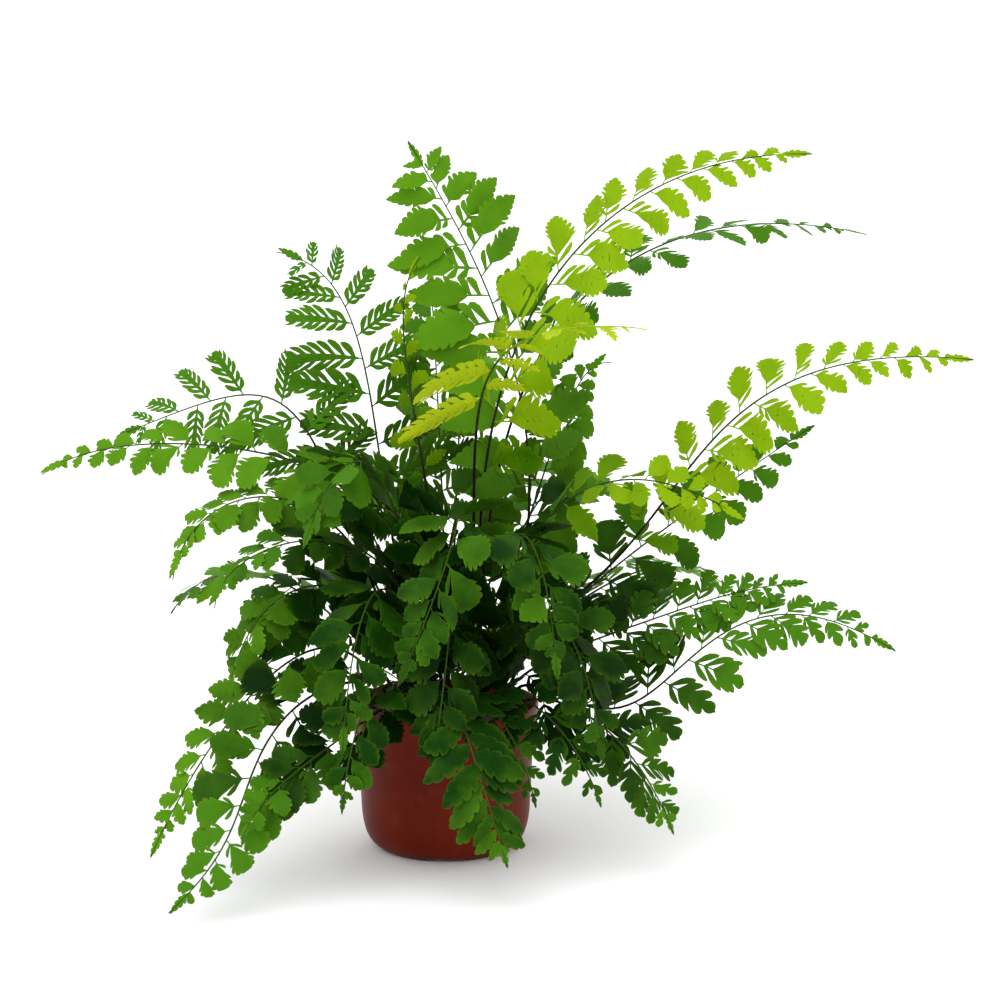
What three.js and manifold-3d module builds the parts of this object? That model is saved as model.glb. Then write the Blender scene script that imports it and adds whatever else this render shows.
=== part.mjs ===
// A fern in a plain plastic pot: the pot, the potting soil and one node for each frond.
// Millimetres, +Z up. The origin is the middle of the pot's flat base, on the surface it stands on.
// +X runs to the right of a viewer who faces the plant, and +Y runs away from that viewer.
import * as THREE from "three";
import { mergeVertices } from "three/addons/utils/BufferGeometryUtils.js";
import Module from "manifold-3d";

const wasm = await Module();
wasm.setup();

// Driving dimensions of the pot: a 12 cm pot with a collar, a rounded foot and drain cuts. The
// profile points are [radius, height].
const POT_FACETS = 28;
const POT_HEIGHT = 95;
const RIM_RADIUS = 60.3;
const COLLAR_HEIGHT = 30;
const COLLAR_LEAN = 1.6;
const COLLAR_STEP = { outLow: 4, outHigh: 1.5, inLow: 3, inHigh: 2.5 };
const WALL = 1.8;
const TUB_RADIUS = 56.4;
const TUB_OUTSIDE = [
  [48.8, 4.6],
  [51.8, 9.6],
  [53.8, 17],
  [54.8, 26],
];
const TUB_INSIDE = [
  [48.2, 8.6],
  [52.6, 24],
];
const LIP = { wide: 0.9, high: 1.6, inner: 0.8, slope: 0.2 };
const FOOT_ROUND = [3.2, 1.2];
const FOOT_RADIUS = 41.5;
const FLOOR = 4.2;
const FLOOR_EDGE = 0.5;
const FOOT_CUT = { count: 4, width: 23, height: 2.4, from: 33 };
const DRAIN = { count: 6, radius: 3.5, circle: 28, facets: 8 };

// Driving dimensions of the soil and of the holes that the stems stand in.
const SOIL_LEVEL = 85;
const SOIL_CROWN = 3;
const SOIL_RELIEF = { high: 0.9, across: 0.31, deep: 0.27 };
const SOIL_RING = 36;
const SOIL_CALM_RADIUS = 50;
const SEAT_GAP = 0.35;
const ROOT_DEPTH = 10;
const HOLE_RISE = 6;

// Driving dimensions that every frond shares.
const BLADE = 0.7;
const STEM_HALF = 1.1;
const RIB_HALF = 0.8;
const STEM_STEPS = 3;
const TAPER_POWER = 1.25;
const PAIR_ROOM = { before: 0.35, after: 0.6 };
const LENGTH_CURVE = { least: 0.78, rise: 1.4, late: 1.8, blunt: 0.6 };
const TIP_SHARE = 0.06;
const TIP_WIDTH_SHARE = 0.7;
const LINE_STEPS = 120;
const SEAT = { share: 0.07, least: 0.9, most: 1.6 };
const SPARE = 0.4;
const FLOOR_CLEARANCE = 3;
const LEAFLET_DROOP = 0.16;
const LEAFLET_JITTER = 5;
const FIRST_SEED = 7;

// Outlines of half a leaflet from its stalk to its tip: [along, across] as shares of its length
// and of its full width. The lobes are cut deeper on fertile fronds, whose leaflets are combs.
const BROAD = [
  [0.24, 0.5],
  [0.42, 0.3],
  [0.66, 0.46],
];
const COMB = [
  [0.13, 0.1],
  [0.36, 0.5],
  [0.4, 0.1],
  [0.72, 0.42],
];
const PLAIN = [
  [0.32, 0.5],
  [0.66, 0.34],
];
const FORK = [
  [0.38, 0.5],
  [0.46, 0.14],
];
const SMALL = [[0.45, 0.42]];
const PLAIN_LENGTH = 24;
const SMALL_LENGTH = 15;

const KINDS = {
  sterile: { full: BROAD, plain: PLAIN, lean: 66, widthShare: 0.55, fill: 0.92 },
  fertile: { full: COMB, plain: FORK, lean: 60, widthShare: 0.52, fill: 0.96 },
};

const COLOURS = {
  pot: 0x8f4630,
  soil: 0x1d1511,
  old: 0x2c5212,
  mid: 0x4a8a1c,
  bright: 0x74ad22,
  young: 0xa8c43a,
};

// Each frond: its kind and colour, where its stem leaves the soil, how many pairs of leaflets it
// has, the longest leaflet, its roll about its own rib in degrees, the share of its length that is
// bare stem, and the points that pull its line, the last of them its tip.
const FRONDS = [
  // Left side, from the top down
  frond("frond_left_feather", "fertile", "old", [-6, 16], 7, 48, -62, 0.4,
    [-45, 20, 196], [-46, 26, 293], [-45, 30, 373], [-108, 30, 383]),
  frond("frond_left_comb", "fertile", "old", [-13, 11], 5, 46, -66, 0.4,
    [-73, 13, 217], [-89, 17, 317], [-102, 20, 310], [-212, 20, 265]),
  frond("frond_left_long", "sterile", "mid", [-15, -3], 7, 42, -48, 0.37,
    [20, -7, 232], [-35, -16, 252], [-190, -29, 295], [-251, -40, 250]),
  frond("frond_left_arch", "sterile", "mid", [-22, -9], 6, 40, -44, 0.33,
    [-37, -17, 214], [-85, -35, 265], [-160, -52, 247], [-168, -60, 187]),
  frond("frond_left_bow", "sterile", "old", [-18, -17], 5, 40, -40, 0.29,
    [-12, -34, 208], [-48, -60, 232], [-136, -83, 221], [-139, -92, 176]),
  frond("frond_left_low", "sterile", "mid", [-27, -4], 6, 44, -36, 0.23,
    [-35, -15, 206], [-120, -45, 200], [-135, -52, 114]),
  frond("frond_left_sweep", "sterile", "mid", [-29, -14], 6, 38, -40, 0.29,
    [-64, -30, 165], [-89, -62, 159], [-143, -96, 107], [-179, -112, 24]),
  frond("frond_front_left_long", "fertile", "old", [-20, -26], 5, 42, -36, 0.32,
    [-30, -44, 150], [-133, -80, 126], [-119, -114, 70], [-107, -148, 55], [-160, -182, 12]),
  frond("frond_front_left_short", "sterile", "old", [-16, -31], 4, 38, -30, 0.31,
    [-20, -48, 140], [-40, -85, 89], [-106, -123, 88], [-118, -160, 50]),

  // Top and right side, from the top down
  frond("frond_top", "sterile", "mid", [12, 4], 7, 50, -70, 0.45,
    [89, 2, 214], [56, 1, 333], [1, 0, 414], [-22, 0, 455]),
  frond("frond_top_behind", "sterile", "old", [0, 19], 5, 46, -60, 0.32,
    [0, 30, 250], [-10, 50, 350], [-10, 70, 372]),
  frond("frond_top_thin", "sterile", "bright", [-4, -11], 4, 20, 70, 0.5,
    [4, -16, 196], [-18, -24, 288], [-40, -30, 355], [-14, -30, 385]),
  frond("frond_right_high", "sterile", "bright", [22, -3], 7, 42, 62, 0.44,
    [20, -4, 240], [16, -23, 322], [76, -41, 454], [224, -60, 450]),
  frond("frond_right_edge", "sterile", "old", [23, 12], 6, 34, 12, 0.48,
    [16, 14, 311], [74, 26, 403], [189, 40, 413], [272, 46, 393]),
  frond("frond_young", "sterile", "young", [16, -12], 5, 80, -20, 0.54,
    [28, -26, 320], [-10, -62, 337], [84, -103, 357], [122, -128, 351]),
  frond("frond_right_long", "sterile", "bright", [29, -1], 7, 40, 58, 0.38,
    [48, -5, 190], [188, -11, 155], [107, -18, 310], [231, -24, 331], [331, -30, 321]),
  frond("frond_right_dark", "sterile", "old", [35, 5], 6, 40, 62, 0.36,
    [54, 7, 150], [111, 8, 182], [177, 9, 236], [237, 10, 274]),
  frond("frond_right_middle", "sterile", "bright", [21, -18], 6, 44, 40, 0.33,
    [38, -32, 250], [110, -70, 280], [185, -80, 228]),
  frond("frond_right_comb", "fertile", "old", [32, -5], 6, 44, 56, 0.33,
    [46, -8, 140], [136, -15, 137], [158, -23, 177], [230, -30, 179]),
  frond("frond_right_low", "fertile", "old", [38, -17], 6, 46, 60, 0.34,
    [48, -21, 165], [112, -26, 40], [140, -30, 62], [144, -35, 226], [285, -40, 137]),
  frond("frond_right_hanging", "fertile", "old", [31, -28], 5, 46, 44, 0.28,
    [55, -44, 128], [115, -75, 108], [143, -90, 32]),
  frond("frond_front_right_low", "fertile", "mid", [15, -33], 4, 38, 34, 0.25,
    [30, -60, 140], [80, -100, 112], [97, -112, 56]),
  frond("frond_front_right_small", "fertile", "mid", [7, -36], 3, 32, 30, 0.22,
    [18, -66, 132], [48, -108, 106], [57, -120, 58]),

  // Middle, towards the viewer
  frond("frond_front_pot", "sterile", "mid", [-1, -37], 5, 38, 12, 0.2,
    [-2, -80, 150], [12, -140, 124], [40, -152, 30]),
  frond("frond_front_left_pot", "sterile", "mid", [-8, -37], 4, 34, -20, 0.2,
    [-22, -78, 150], [-54, -122, 142], [-60, -134, 58]),
  frond("frond_middle_left", "sterile", "old", [-9, -14], 5, 48, -18, 0.26,
    [-20, -36, 240], [-50, -80, 324], [-84, -98, 214]),
  frond("frond_middle", "sterile", "mid", [4, -20], 5, 46, 6, 0.2,
    [-14, -48, 246], [44, -112, 292], [-26, -136, 138]),
  frond("frond_middle_right", "sterile", "mid", [14, -22], 5, 46, 16, 0.2,
    [28, -50, 236], [60, -108, 272], [70, -122, 138]),
  frond("frond_middle_low_left", "sterile", "mid", [-12, -23], 5, 42, -12, 0.19,
    [-25, -52, 212], [-52, -108, 222], [-60, -124, 92]),
  frond("frond_middle_low", "sterile", "old", [2, -29], 5, 42, -4, 0.18,
    [5, -62, 190], [10, -112, 196], [-6, -128, 78]),
  frond("frond_middle_low_right", "sterile", "old", [21, -27], 5, 42, 18, 0.18,
    [40, -52, 190], [84, -98, 204], [98, -112, 84]),
  frond("frond_middle_feather", "sterile", "mid", [15, 17], 5, 40, 58, 0.36,
    [42, 27, 181], [74, 38, 250], [77, 48, 313], [108, 52, 309]),

  // Back, away from the viewer
  frond("frond_back_high", "sterile", "mid", [4, 29], 4, 44, -6, 0.24,
    [4, 60, 240], [12, 130, 330], [14, 200, 296]),
  frond("frond_back_right", "sterile", "old", [18, 25], 4, 44, 8, 0.22,
    [40, 60, 220], [90, 140, 260], [120, 200, 186]),
  frond("frond_back_left", "sterile", "old", [-14, 25], 4, 44, -8, 0.22,
    [-40, 60, 215], [-90, 135, 250], [-120, 190, 180]),
  frond("frond_back_right_low", "fertile", "mid", [30, 18], 4, 44, 12, 0.26,
    [70, 45, 160], [160, 90, 200], [205, 120, 130]),
  frond("frond_back_left_low", "sterile", "mid", [-28, 17], 4, 44, -12, 0.23,
    [-70, 40, 160], [-150, 85, 195], [-190, 112, 128]),
  frond("frond_back_low", "sterile", "old", [3, 38], 4, 44, 0, 0.2,
    [15, 80, 140], [35, 160, 150], [48, 205, 62]),
];

// One row of the list of fronds, by its names.
function frond(name, kind, colour, root, pairs, leaflet, roll, bare, ...pulls) {
  return { name, kind, colour, root, pairs, leaflet, roll, bare, pulls };
}

// A repeatable draw from 0 to 1, from a seed that each frond gets from its place in the list.
function drawFrom(seed) {
  let state = seed * 2654435761;
  return () => {
    state = (state * 1664525 + 1013904223) % 4294967296;
    return state / 4294967296;
  };
}

// A geometry with its shared vertices merged, its faces without width dropped and facing out.
function welded(geometry) {
  const bare = geometry.clone();
  bare.deleteAttribute("normal");
  bare.deleteAttribute("uv");
  const merged = mergeVertices(bare, 1e-3);
  const place = merged.attributes.position;
  const faces = [];
  let volume = 0;
  for (let k = 0; k < merged.index.count; k += 3) {
    const face = [0, 1, 2].map((n) => merged.index.getX(k + n));
    if (new Set(face).size < 3) continue;
    const [a, b, c] = face.map((n) => new THREE.Vector3().fromBufferAttribute(place, n));
    volume += a.dot(b.cross(c));
    faces.push(face);
  }
  merged.setIndex((volume < 0 ? faces.map(([a, b, c]) => [a, c, b]) : faces).flat());
  return merged;
}

// A solid for joining and cutting, from a closed geometry.
function toSolid(geometry) {
  const { index, attributes } = welded(geometry);
  const vertProperties = new Float32Array(attributes.position.array);
  const triVerts = new Uint32Array(index.array);
  return new wasm.Manifold(new wasm.Mesh({ numProp: 3, vertProperties, triVerts }));
}

// A geometry from a solid that was joined or cut.
function toGeometry(solid) {
  const { vertProperties, triVerts } = solid.getMesh();
  const geometry = new THREE.BufferGeometry();
  geometry.setAttribute("position", new THREE.BufferAttribute(vertProperties, 3));
  geometry.setIndex([...triVerts]);
  return geometry;
}

// A body of revolution about Z from a profile of [radius, height] points.
function turned(profile, facets) {
  const points = profile.map(([radius, height]) => new THREE.Vector2(radius, height));
  return new THREE.LatheGeometry(points, facets).rotateX(Math.PI / 2);
}

// The pot's inside, from the floor's middle up to the rim, as [radius, height].
function potInside() {
  const collar = POT_HEIGHT - COLLAR_HEIGHT;
  return [
    [0, FLOOR],
    [FOOT_RADIUS - FLOOR_EDGE, FLOOR],
    ...TUB_INSIDE,
    [TUB_RADIUS - WALL, collar - COLLAR_STEP.inLow],
    [RIM_RADIUS - COLLAR_LEAN - WALL, collar + COLLAR_STEP.inHigh],
  ];
}

function potGeometry() {
  const collar = POT_HEIGHT - COLLAR_HEIGHT;
  const outside = [
    [0, 0],
    [FOOT_RADIUS, 0],
    [FOOT_RADIUS + FOOT_ROUND[0], FOOT_ROUND[1]],
    ...TUB_OUTSIDE,
    [TUB_RADIUS, collar - COLLAR_STEP.outLow],
    [RIM_RADIUS - COLLAR_LEAN, collar + COLLAR_STEP.outHigh],
    [RIM_RADIUS, POT_HEIGHT - LIP.high],
    [RIM_RADIUS - LIP.wide, POT_HEIGHT],
    [RIM_RADIUS - WALL - LIP.slope, POT_HEIGHT - LIP.inner],
  ];
  let pot = toSolid(turned([...outside, ...potInside().reverse()], POT_FACETS));
  for (let k = 0; k < FOOT_CUT.count; k++) {
    const reach = RIM_RADIUS - FOOT_CUT.from;
    const cut = new THREE.BoxGeometry(reach, FOOT_CUT.width, FOOT_CUT.height * 2);
    cut.translate(FOOT_CUT.from + reach / 2, 0, 0);
    cut.rotateZ((k * 2 * Math.PI) / FOOT_CUT.count);
    pot = pot.subtract(toSolid(cut));
  }
  for (let k = 0; k < DRAIN.count; k++) {
    const hole = new THREE.CylinderGeometry(DRAIN.radius, DRAIN.radius, FLOOR * 3, DRAIN.facets);
    hole.rotateX(Math.PI / 2).translate(DRAIN.circle, 0, 0);
    hole.rotateZ(((k + 0.5) * 2 * Math.PI) / DRAIN.count);
    pot = pot.subtract(toSolid(hole));
  }
  return toGeometry(pot);
}

// The height of the soil's top at a distance from the middle, before its relief.
function soilTop(radius) {
  const share = Math.min(radius / RIM_RADIUS, 1);
  return SOIL_LEVEL + SOIL_CROWN * (1 - share * share);
}

// Soil fills the pot with a small gap all round, and every stem stands in a hole of its own.
function soilGeometry(stemHoles) {
  const edge = RIM_RADIUS - COLLAR_LEAN - WALL - SEAT_GAP;
  const inside = potInside().filter((_, k) => k !== 2);
  const side = inside.map(([radius, height]) => [Math.max(radius - SEAT_GAP, 0), height + SEAT_GAP]);
  const top = [edge, SOIL_RING, 0].map((radius) => [radius, soilTop(radius)]);
  const geometry = welded(turned([...side, ...top], POT_FACETS));
  const place = geometry.attributes.position;
  for (let k = 0; k < place.count; k++) {
    const x = place.getX(k);
    const y = place.getY(k);
    if (place.getZ(k) < SOIL_LEVEL || Math.hypot(x, y) > SOIL_CALM_RADIUS) continue;
    const wave = Math.sin(SOIL_RELIEF.across * x + 1) * Math.cos(SOIL_RELIEF.deep * y + 2);
    place.setZ(k, place.getZ(k) + SOIL_RELIEF.high * wave);
  }
  let soil = toSolid(geometry);
  for (const hole of stemHoles) soil = soil.subtract(toSolid(hole));
  return toGeometry(soil);
}

// A closed solid from a sheet of triangles. Each vertex moves half the thickness to both sides
// along its normal, both faces are split alike, and the sheet's open edges get walls.
function thickened(sheet, spare = 0) {
  const under = sheet.points.length;
  const positions = [];
  for (const side of [1, -1]) {
    sheet.points.forEach(({ at, normal, half }) => {
      positions.push(...at.clone().addScaledVector(normal, side * (half + spare)).toArray());
    });
  }
  const index = [];
  const open = new Map();
  for (const [a, b, c] of sheet.faces) {
    index.push(a, b, c, under + a, under + c, under + b);
    for (const [from, to] of [[a, b], [b, c], [c, a]]) {
      if (!open.delete(`${to},${from}`)) open.set(`${from},${to}`, [from, to]);
    }
  }
  for (const [from, to] of open.values()) {
    index.push(under + from, under + to, to, under + from, to, from);
  }
  const geometry = new THREE.BufferGeometry();
  geometry.setAttribute("position", new THREE.Float32BufferAttribute(positions, 3));
  geometry.setIndex(index);
  return geometry;
}

// A smooth line from its first point to its last, drawn towards each of those between them.
class PulledLine extends THREE.Curve {
  constructor(points) {
    super();
    this.points = points;
    this.arcLengthDivisions = LINE_STEPS;
  }

  getPoint(share, target = new THREE.Vector3()) {
    let row = this.points;
    while (row.length > 1) row = row.slice(1).map((point, k) => row[k].clone().lerp(point, share));
    return target.copy(row[0]);
  }
}

// The line of a frond's stem and rib, with a frame at every point of it: along the line, across
// the blade and out of its upper face. The across direction starts level and turns by the roll.
class Rachis {
  constructor({ root, pulls, roll }) {
    const foot = new THREE.Vector3(root[0], root[1], soilTop(Math.hypot(...root)));
    const tip = new THREE.Vector3(...pulls.at(-1));
    this.curve = new PulledLine([foot, ...pulls.map((pull) => new THREE.Vector3(...pull))]);
    this.length = this.curve.getLength();
    this.roll = THREE.MathUtils.degToRad(roll);
    const heading = new THREE.Vector3(tip.x - foot.x, tip.y - foot.y, 0).normalize();
    this.level = new THREE.Vector3(-heading.y, heading.x, 0);
  }

  // The frame at a distance along the line; a distance below zero lies on the straight root.
  at(distance) {
    const share = THREE.MathUtils.clamp(distance / this.length, 0, 1);
    const along = this.curve.getTangentAt(share);
    const level = this.level.clone().addScaledVector(along, -this.level.dot(along)).normalize();
    const out = along.clone().cross(level);
    const across = level.multiplyScalar(Math.cos(this.roll)).addScaledVector(out, Math.sin(this.roll));
    const place = this.curve.getPointAt(share);
    if (distance < 0) place.addScaledVector(along, distance);
    return { place, along, across, out: along.clone().cross(across) };
  }
}

// Adds a point pair, right then left, across the line, and returns their two indices.
function addPair(sheet, frame, halfWidth, half) {
  for (const side of [-1, 1]) {
    const at = frame.place.clone().addScaledVector(frame.across, side * halfWidth);
    sheet.points.push({ at, normal: frame.out, half });
  }
  return [sheet.points.length - 2, sheet.points.length - 1];
}

// Adds the two triangles between one pair of points and the next along the line.
function addQuad(sheet, [right, left], [nextRight, nextLeft]) {
  sheet.faces.push([right, nextRight, nextLeft], [right, nextLeft, left]);
}

// Where the pairs of leaflets stand, as shares of the blade, closer together towards the tip.
function pairShares(pairs) {
  const { before, after } = PAIR_ROOM;
  return Array.from({ length: pairs }, (_, k) => 1 - (1 - (k + before) / (pairs + after)) ** TAPER_POWER);
}

// How long a leaflet is at a share of the blade, beside the frond's longest one.
function leafletShare(share) {
  const { least, rise, late, blunt } = LENGTH_CURVE;
  return Math.min(1, least + rise * share) * (1 - share ** late) ** blunt;
}

// The stem and rib of a frond as one narrow strip, with the places where its leaflets attach.
function ribSheet(spec, rachis) {
  const sheet = { points: [], faces: [] };
  const bladeStart = rachis.length * spec.bare;
  const bladeLength = rachis.length - bladeStart;
  const stemStep = (bladeStart - HOLE_RISE) / STEM_STEPS;
  const stemStops = [-ROOT_DEPTH];
  for (let k = 0; k < STEM_STEPS; k++) stemStops.push(HOLE_RISE + stemStep * k);
  let last = null;
  for (const stop of stemStops) {
    const pair = addPair(sheet, rachis.at(stop), STEM_HALF, STEM_HALF);
    if (last) addQuad(sheet, last, pair);
    last = pair;
  }
  const seats = [];
  const shares = pairShares(spec.pairs);
  shares.forEach((share, k) => {
    const distance = bladeStart + bladeLength * share;
    const spacing = bladeLength * ((shares[k + 1] ?? 1) - share);
    const length = spec.leaflet * leafletShare(share);
    const base = THREE.MathUtils.clamp(length * SEAT.share, SEAT.least, SEAT.most);
    const thick = k === 0 ? RIB_HALF : BLADE / 2 + (RIB_HALF - BLADE / 2) * (1 - share);
    const near = addPair(sheet, rachis.at(distance - base), RIB_HALF, thick);
    const far = addPair(sheet, rachis.at(distance + base), RIB_HALF, thick);
    addQuad(sheet, last, near);
    addQuad(sheet, near, far);
    seats.push({ distance, spacing, length, near, far });
    last = far;
  });
  const end = rachis.at(bladeStart + bladeLength * (1 - TIP_SHARE));
  const length = bladeLength * TIP_SHARE;
  const width = length * TIP_WIDTH_SHARE;
  const shape = { ...end, ahead: end.along, beside: end.across, length, width, droop: 0 };
  addLeaflet(sheet, last, SMALL, shape);
  return { sheet, seats };
}

// Adds one leaflet to a sheet as a strip of pairs from its stalk to its tip, drooping as it goes.
// ends are the strip's two seat points in order round the leaflet, seen from above.
function addLeaflet(sheet, ends, outline, { place, ahead, beside, out, length, width, droop }) {
  const half = BLADE / 2;
  const spot = (along, across) => {
    const at = place.clone().addScaledVector(ahead, along * length).addScaledVector(beside, across * width);
    return at.addScaledVector(out, -droop * length * along * along);
  };
  let [right, left] = ends;
  for (const [along, across] of outline) {
    const [first, second] = [spot(along, -across), spot(along, across)];
    const pair = [first, second].map((at) => sheet.points.push({ at, normal: out, half }) - 1);
    sheet.faces.push([right, pair[0], pair[1]], [right, pair[1], left]);
    [right, left] = pair;
  }
  const end = sheet.points.push({ at: spot(1, 0), normal: out, half }) - 1;
  sheet.faces.push([right, end, left]);
}

// The frame and size of one leaflet on one side of the rib. pitch lifts it out of the blade.
function leafletFrame(frame, side, kind, seat, pitch, size, turn) {
  const lift = THREE.MathUtils.degToRad(pitch);
  const lean = THREE.MathUtils.degToRad(kind.lean + turn);
  const swung = (from, to, angle) =>
    from.clone().multiplyScalar(Math.cos(angle)).addScaledVector(to, Math.sin(angle));
  const outward = swung(frame.across.clone().multiplyScalar(side), frame.out, lift);
  const ahead = swung(frame.along, outward, lean);
  const out = side > 0 ? frame.along.clone().cross(outward) : outward.clone().cross(frame.along);
  const beside = out.clone().cross(ahead);
  const length = seat.length * size;
  const width = Math.min(kind.widthShare * length, kind.fill * seat.spacing * Math.sin(lean));
  return { place: frame.place, ahead, beside, out, length, width, droop: LEAFLET_DROOP };
}

// The lobes that a leaflet of this length has.
function outlineFor(kind, length) {
  if (length < SMALL_LENGTH) return SMALL;
  return length < PLAIN_LENGTH ? kind.plain : kind.full;
}

// A leaflet by itself, a little larger all round, to find out whether it is clear of the others.
function looseLeaflet(outline, shape, spare) {
  const sheet = { points: [], faces: [] };
  const fat = { ...shape, length: shape.length + 2 * spare, width: shape.width + 2 * spare };
  const start = shape.place.clone().addScaledVector(shape.ahead, RIB_HALF * 2);
  const ends = [-1, 1].map((side) => {
    const at = start.clone().addScaledVector(shape.beside, side);
    return sheet.points.push({ at, normal: shape.out, half: BLADE / 2 }) - 1;
  });
  addLeaflet(sheet, ends, outline, fat);
  return toSolid(thickened(sheet, spare));
}

// Solids already placed, each with its box, so that a new one is kept clear of them.
class Crowd {
  constructor() {
    this.members = [];
  }

  add(owner, solid) {
    this.members.push({ owner, solid, box: boxOf(solid) });
  }

  isClear(solid, owner) {
    const box = boxOf(solid);
    if (box.min.z < FLOOR_CLEARANCE) return false;
    const others = this.members.filter((other) => other.owner !== owner && box.intersectsBox(other.box));
    return others.every((other) => other.solid.intersect(solid).isEmpty());
  }
}

function boxOf(solid) {
  const { min, max } = solid.boundingBox();
  return new THREE.Box3(new THREE.Vector3(...min), new THREE.Vector3(...max));
}

// What a leaflet may do, in this order, to keep clear: lift or droop, turn, and then be shorter.
const TRIES = [
  [0, 0, 1], [9, 0, 1], [-9, 0, 1], [18, 6, 1], [-18, 6, 1], [9, -9, 1], [-9, -9, 1],
  [0, 0, 0.78], [14, 0, 0.78], [-14, 0, 0.78], [26, 6, 0.7], [-26, 6, 0.7],
  [0, 0, 0.55], [18, 0, 0.55], [-18, 0, 0.55], [34, 0, 0.45], [-34, 0, 0.45],
].map(([pitch, turn, size]) => ({ pitch, turn, size }));

// Adds every leaflet that finds room to a frond's strip, and the leaflet at its tip.
function addLeaflets(spec, number, rachis, rib, crowd) {
  const kind = KINDS[spec.kind];
  const draw = drawFrom(number + FIRST_SEED);
  for (const seat of rib.seats) {
    const frame = rachis.at(seat.distance);
    const outline = outlineFor(kind, seat.length);
    for (const side of [-1, 1]) {
      const jitter = () => (draw() - 0.5) * 2 * LEAFLET_JITTER;
      const [ownPitch, ownTurn] = [jitter(), jitter()];
      for (const { pitch, turn, size } of TRIES) {
        const shape = leafletFrame(frame, side, kind, seat, ownPitch + pitch, size, ownTurn + turn);
        if (!crowd.isClear(looseLeaflet(outline, shape, SPARE), spec.name)) continue;
        const ends = side > 0 ? [seat.far[1], seat.near[1]] : [seat.near[0], seat.far[0]];
        addLeaflet(rib.sheet, ends, outline, shape);
        crowd.add(`${spec.name} leaflet`, looseLeaflet(outline, shape, 0));
        break;
      }
    }
  }
}

function buildFronds(crowd) {
  const rachises = FRONDS.map((spec) => new Rachis(spec));
  const ribs = FRONDS.map((spec, k) => ribSheet(spec, rachises[k]));
  ribs.forEach((rib, k) => crowd.add(FRONDS[k].name, toSolid(thickened(rib.sheet))));
  FRONDS.forEach((spec, k) => addLeaflets(spec, k, rachises[k], ribs[k], crowd));
  return { rachises, geometries: ribs.map((rib) => thickened(rib.sheet)) };
}

// The hole round a root: the root's own section with a gap on all sides, open at the top.
function stemHole(rachis) {
  const sheet = { points: [], faces: [] };
  const half = STEM_HALF + SEAT_GAP;
  const bottom = addPair(sheet, rachis.at(-ROOT_DEPTH - SEAT_GAP), half, half);
  const frame = rachis.at(0);
  const top = { ...frame, place: frame.place.clone().addScaledVector(frame.along, HOLE_RISE) };
  addQuad(sheet, bottom, addPair(sheet, top, half, half));
  return thickened(sheet);
}

function paint(name, geometry, colour, roughness) {
  const material = new THREE.MeshStandardMaterial({ color: COLOURS[colour], roughness, metalness: 0 });
  const mesh = new THREE.Mesh(geometry, material);
  mesh.name = name;
  return mesh;
}

const group = new THREE.Group();
const crowd = new Crowd();
const pot = potGeometry();
crowd.add("pot", toSolid(pot));
crowd.add("soil", toSolid(soilGeometry([])));
const { rachises, geometries } = buildFronds(crowd);
group.add(paint("pot", pot, "pot", 0.45));
group.add(paint("soil", soilGeometry(rachises.map(stemHole)), "soil", 0.95));
geometries.forEach((geometry, k) => group.add(paint(FRONDS[k].name, geometry, FRONDS[k].colour, 0.5)));

export default group;
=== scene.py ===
"""A fern in a plain plastic pot, dressed for its render.

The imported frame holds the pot, the soil and one plain solid for each frond. Every frond is drawn
again here on its own line, with leaflets whose lobes are cut out of the blade. The pot and the
soil are drawn again too, and every surface gets its finish.

Sizes are in millimetres and angles in degrees until a mesh is made, which is in metres.
"""

import logging
import math
from collections.abc import Mapping, Sequence
from dataclasses import dataclass, field
from enum import Enum

import bpy
import numpy as np
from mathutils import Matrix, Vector, noise


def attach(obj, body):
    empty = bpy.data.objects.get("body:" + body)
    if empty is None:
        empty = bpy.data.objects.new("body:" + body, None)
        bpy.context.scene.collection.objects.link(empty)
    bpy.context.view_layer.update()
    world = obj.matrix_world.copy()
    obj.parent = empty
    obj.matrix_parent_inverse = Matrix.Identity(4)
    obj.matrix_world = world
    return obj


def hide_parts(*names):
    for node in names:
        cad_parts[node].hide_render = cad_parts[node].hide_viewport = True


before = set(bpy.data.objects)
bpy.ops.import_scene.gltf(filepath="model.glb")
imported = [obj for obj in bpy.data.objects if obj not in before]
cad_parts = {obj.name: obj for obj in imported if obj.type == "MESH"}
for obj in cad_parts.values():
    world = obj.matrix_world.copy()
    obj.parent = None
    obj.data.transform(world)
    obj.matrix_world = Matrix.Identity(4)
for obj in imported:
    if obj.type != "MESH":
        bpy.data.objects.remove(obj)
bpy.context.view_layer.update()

LOG = logging.getLogger("potted_fern")
MM = 0.001
FLAT_MAP = "OFBake"
MARKS = "marks"
GOLDEN_TURN = 2.399963
FIRST_SEED = 1000
OWNERS_EACH = 1000
NOBODY = -1
ROD_SIDES = 32
SOIL_TOP, SOIL_BELOW, SOIL_LUMPS = range(3)

Colour = tuple[float, float, float, float]
Point = tuple[float, float, float]
Range = tuple[float, float]
Profile = tuple[tuple[float, float], ...]


class Kind(Enum):
    """The kinds of leaflet that the fern's fronds carry."""

    BROAD = "broad, widest below its middle"
    FAN = "fan with deep teeth past two free lobes"
    LANCE = "long and narrow"
    SEATED = "long and broad down to the rib"
    WEDGE = "wedge with a toothed end"
    LOBED = "fan past two pairs of free lobes"
    COMB = "three pairs of spoon-shaped lobes below a fingered end"
    FEATHER = "narrow and cut into short straps"
    TASSEL = "long and soft, cut into small lobes"


class Age(Enum):
    """How old a frond's leaves are, which sets their green. The value names the slot."""

    OLD = "leaf_old"
    MID = "leaf_mid"
    BRIGHT = "leaf_bright"
    YOUNG = "leaf_young"


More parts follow.
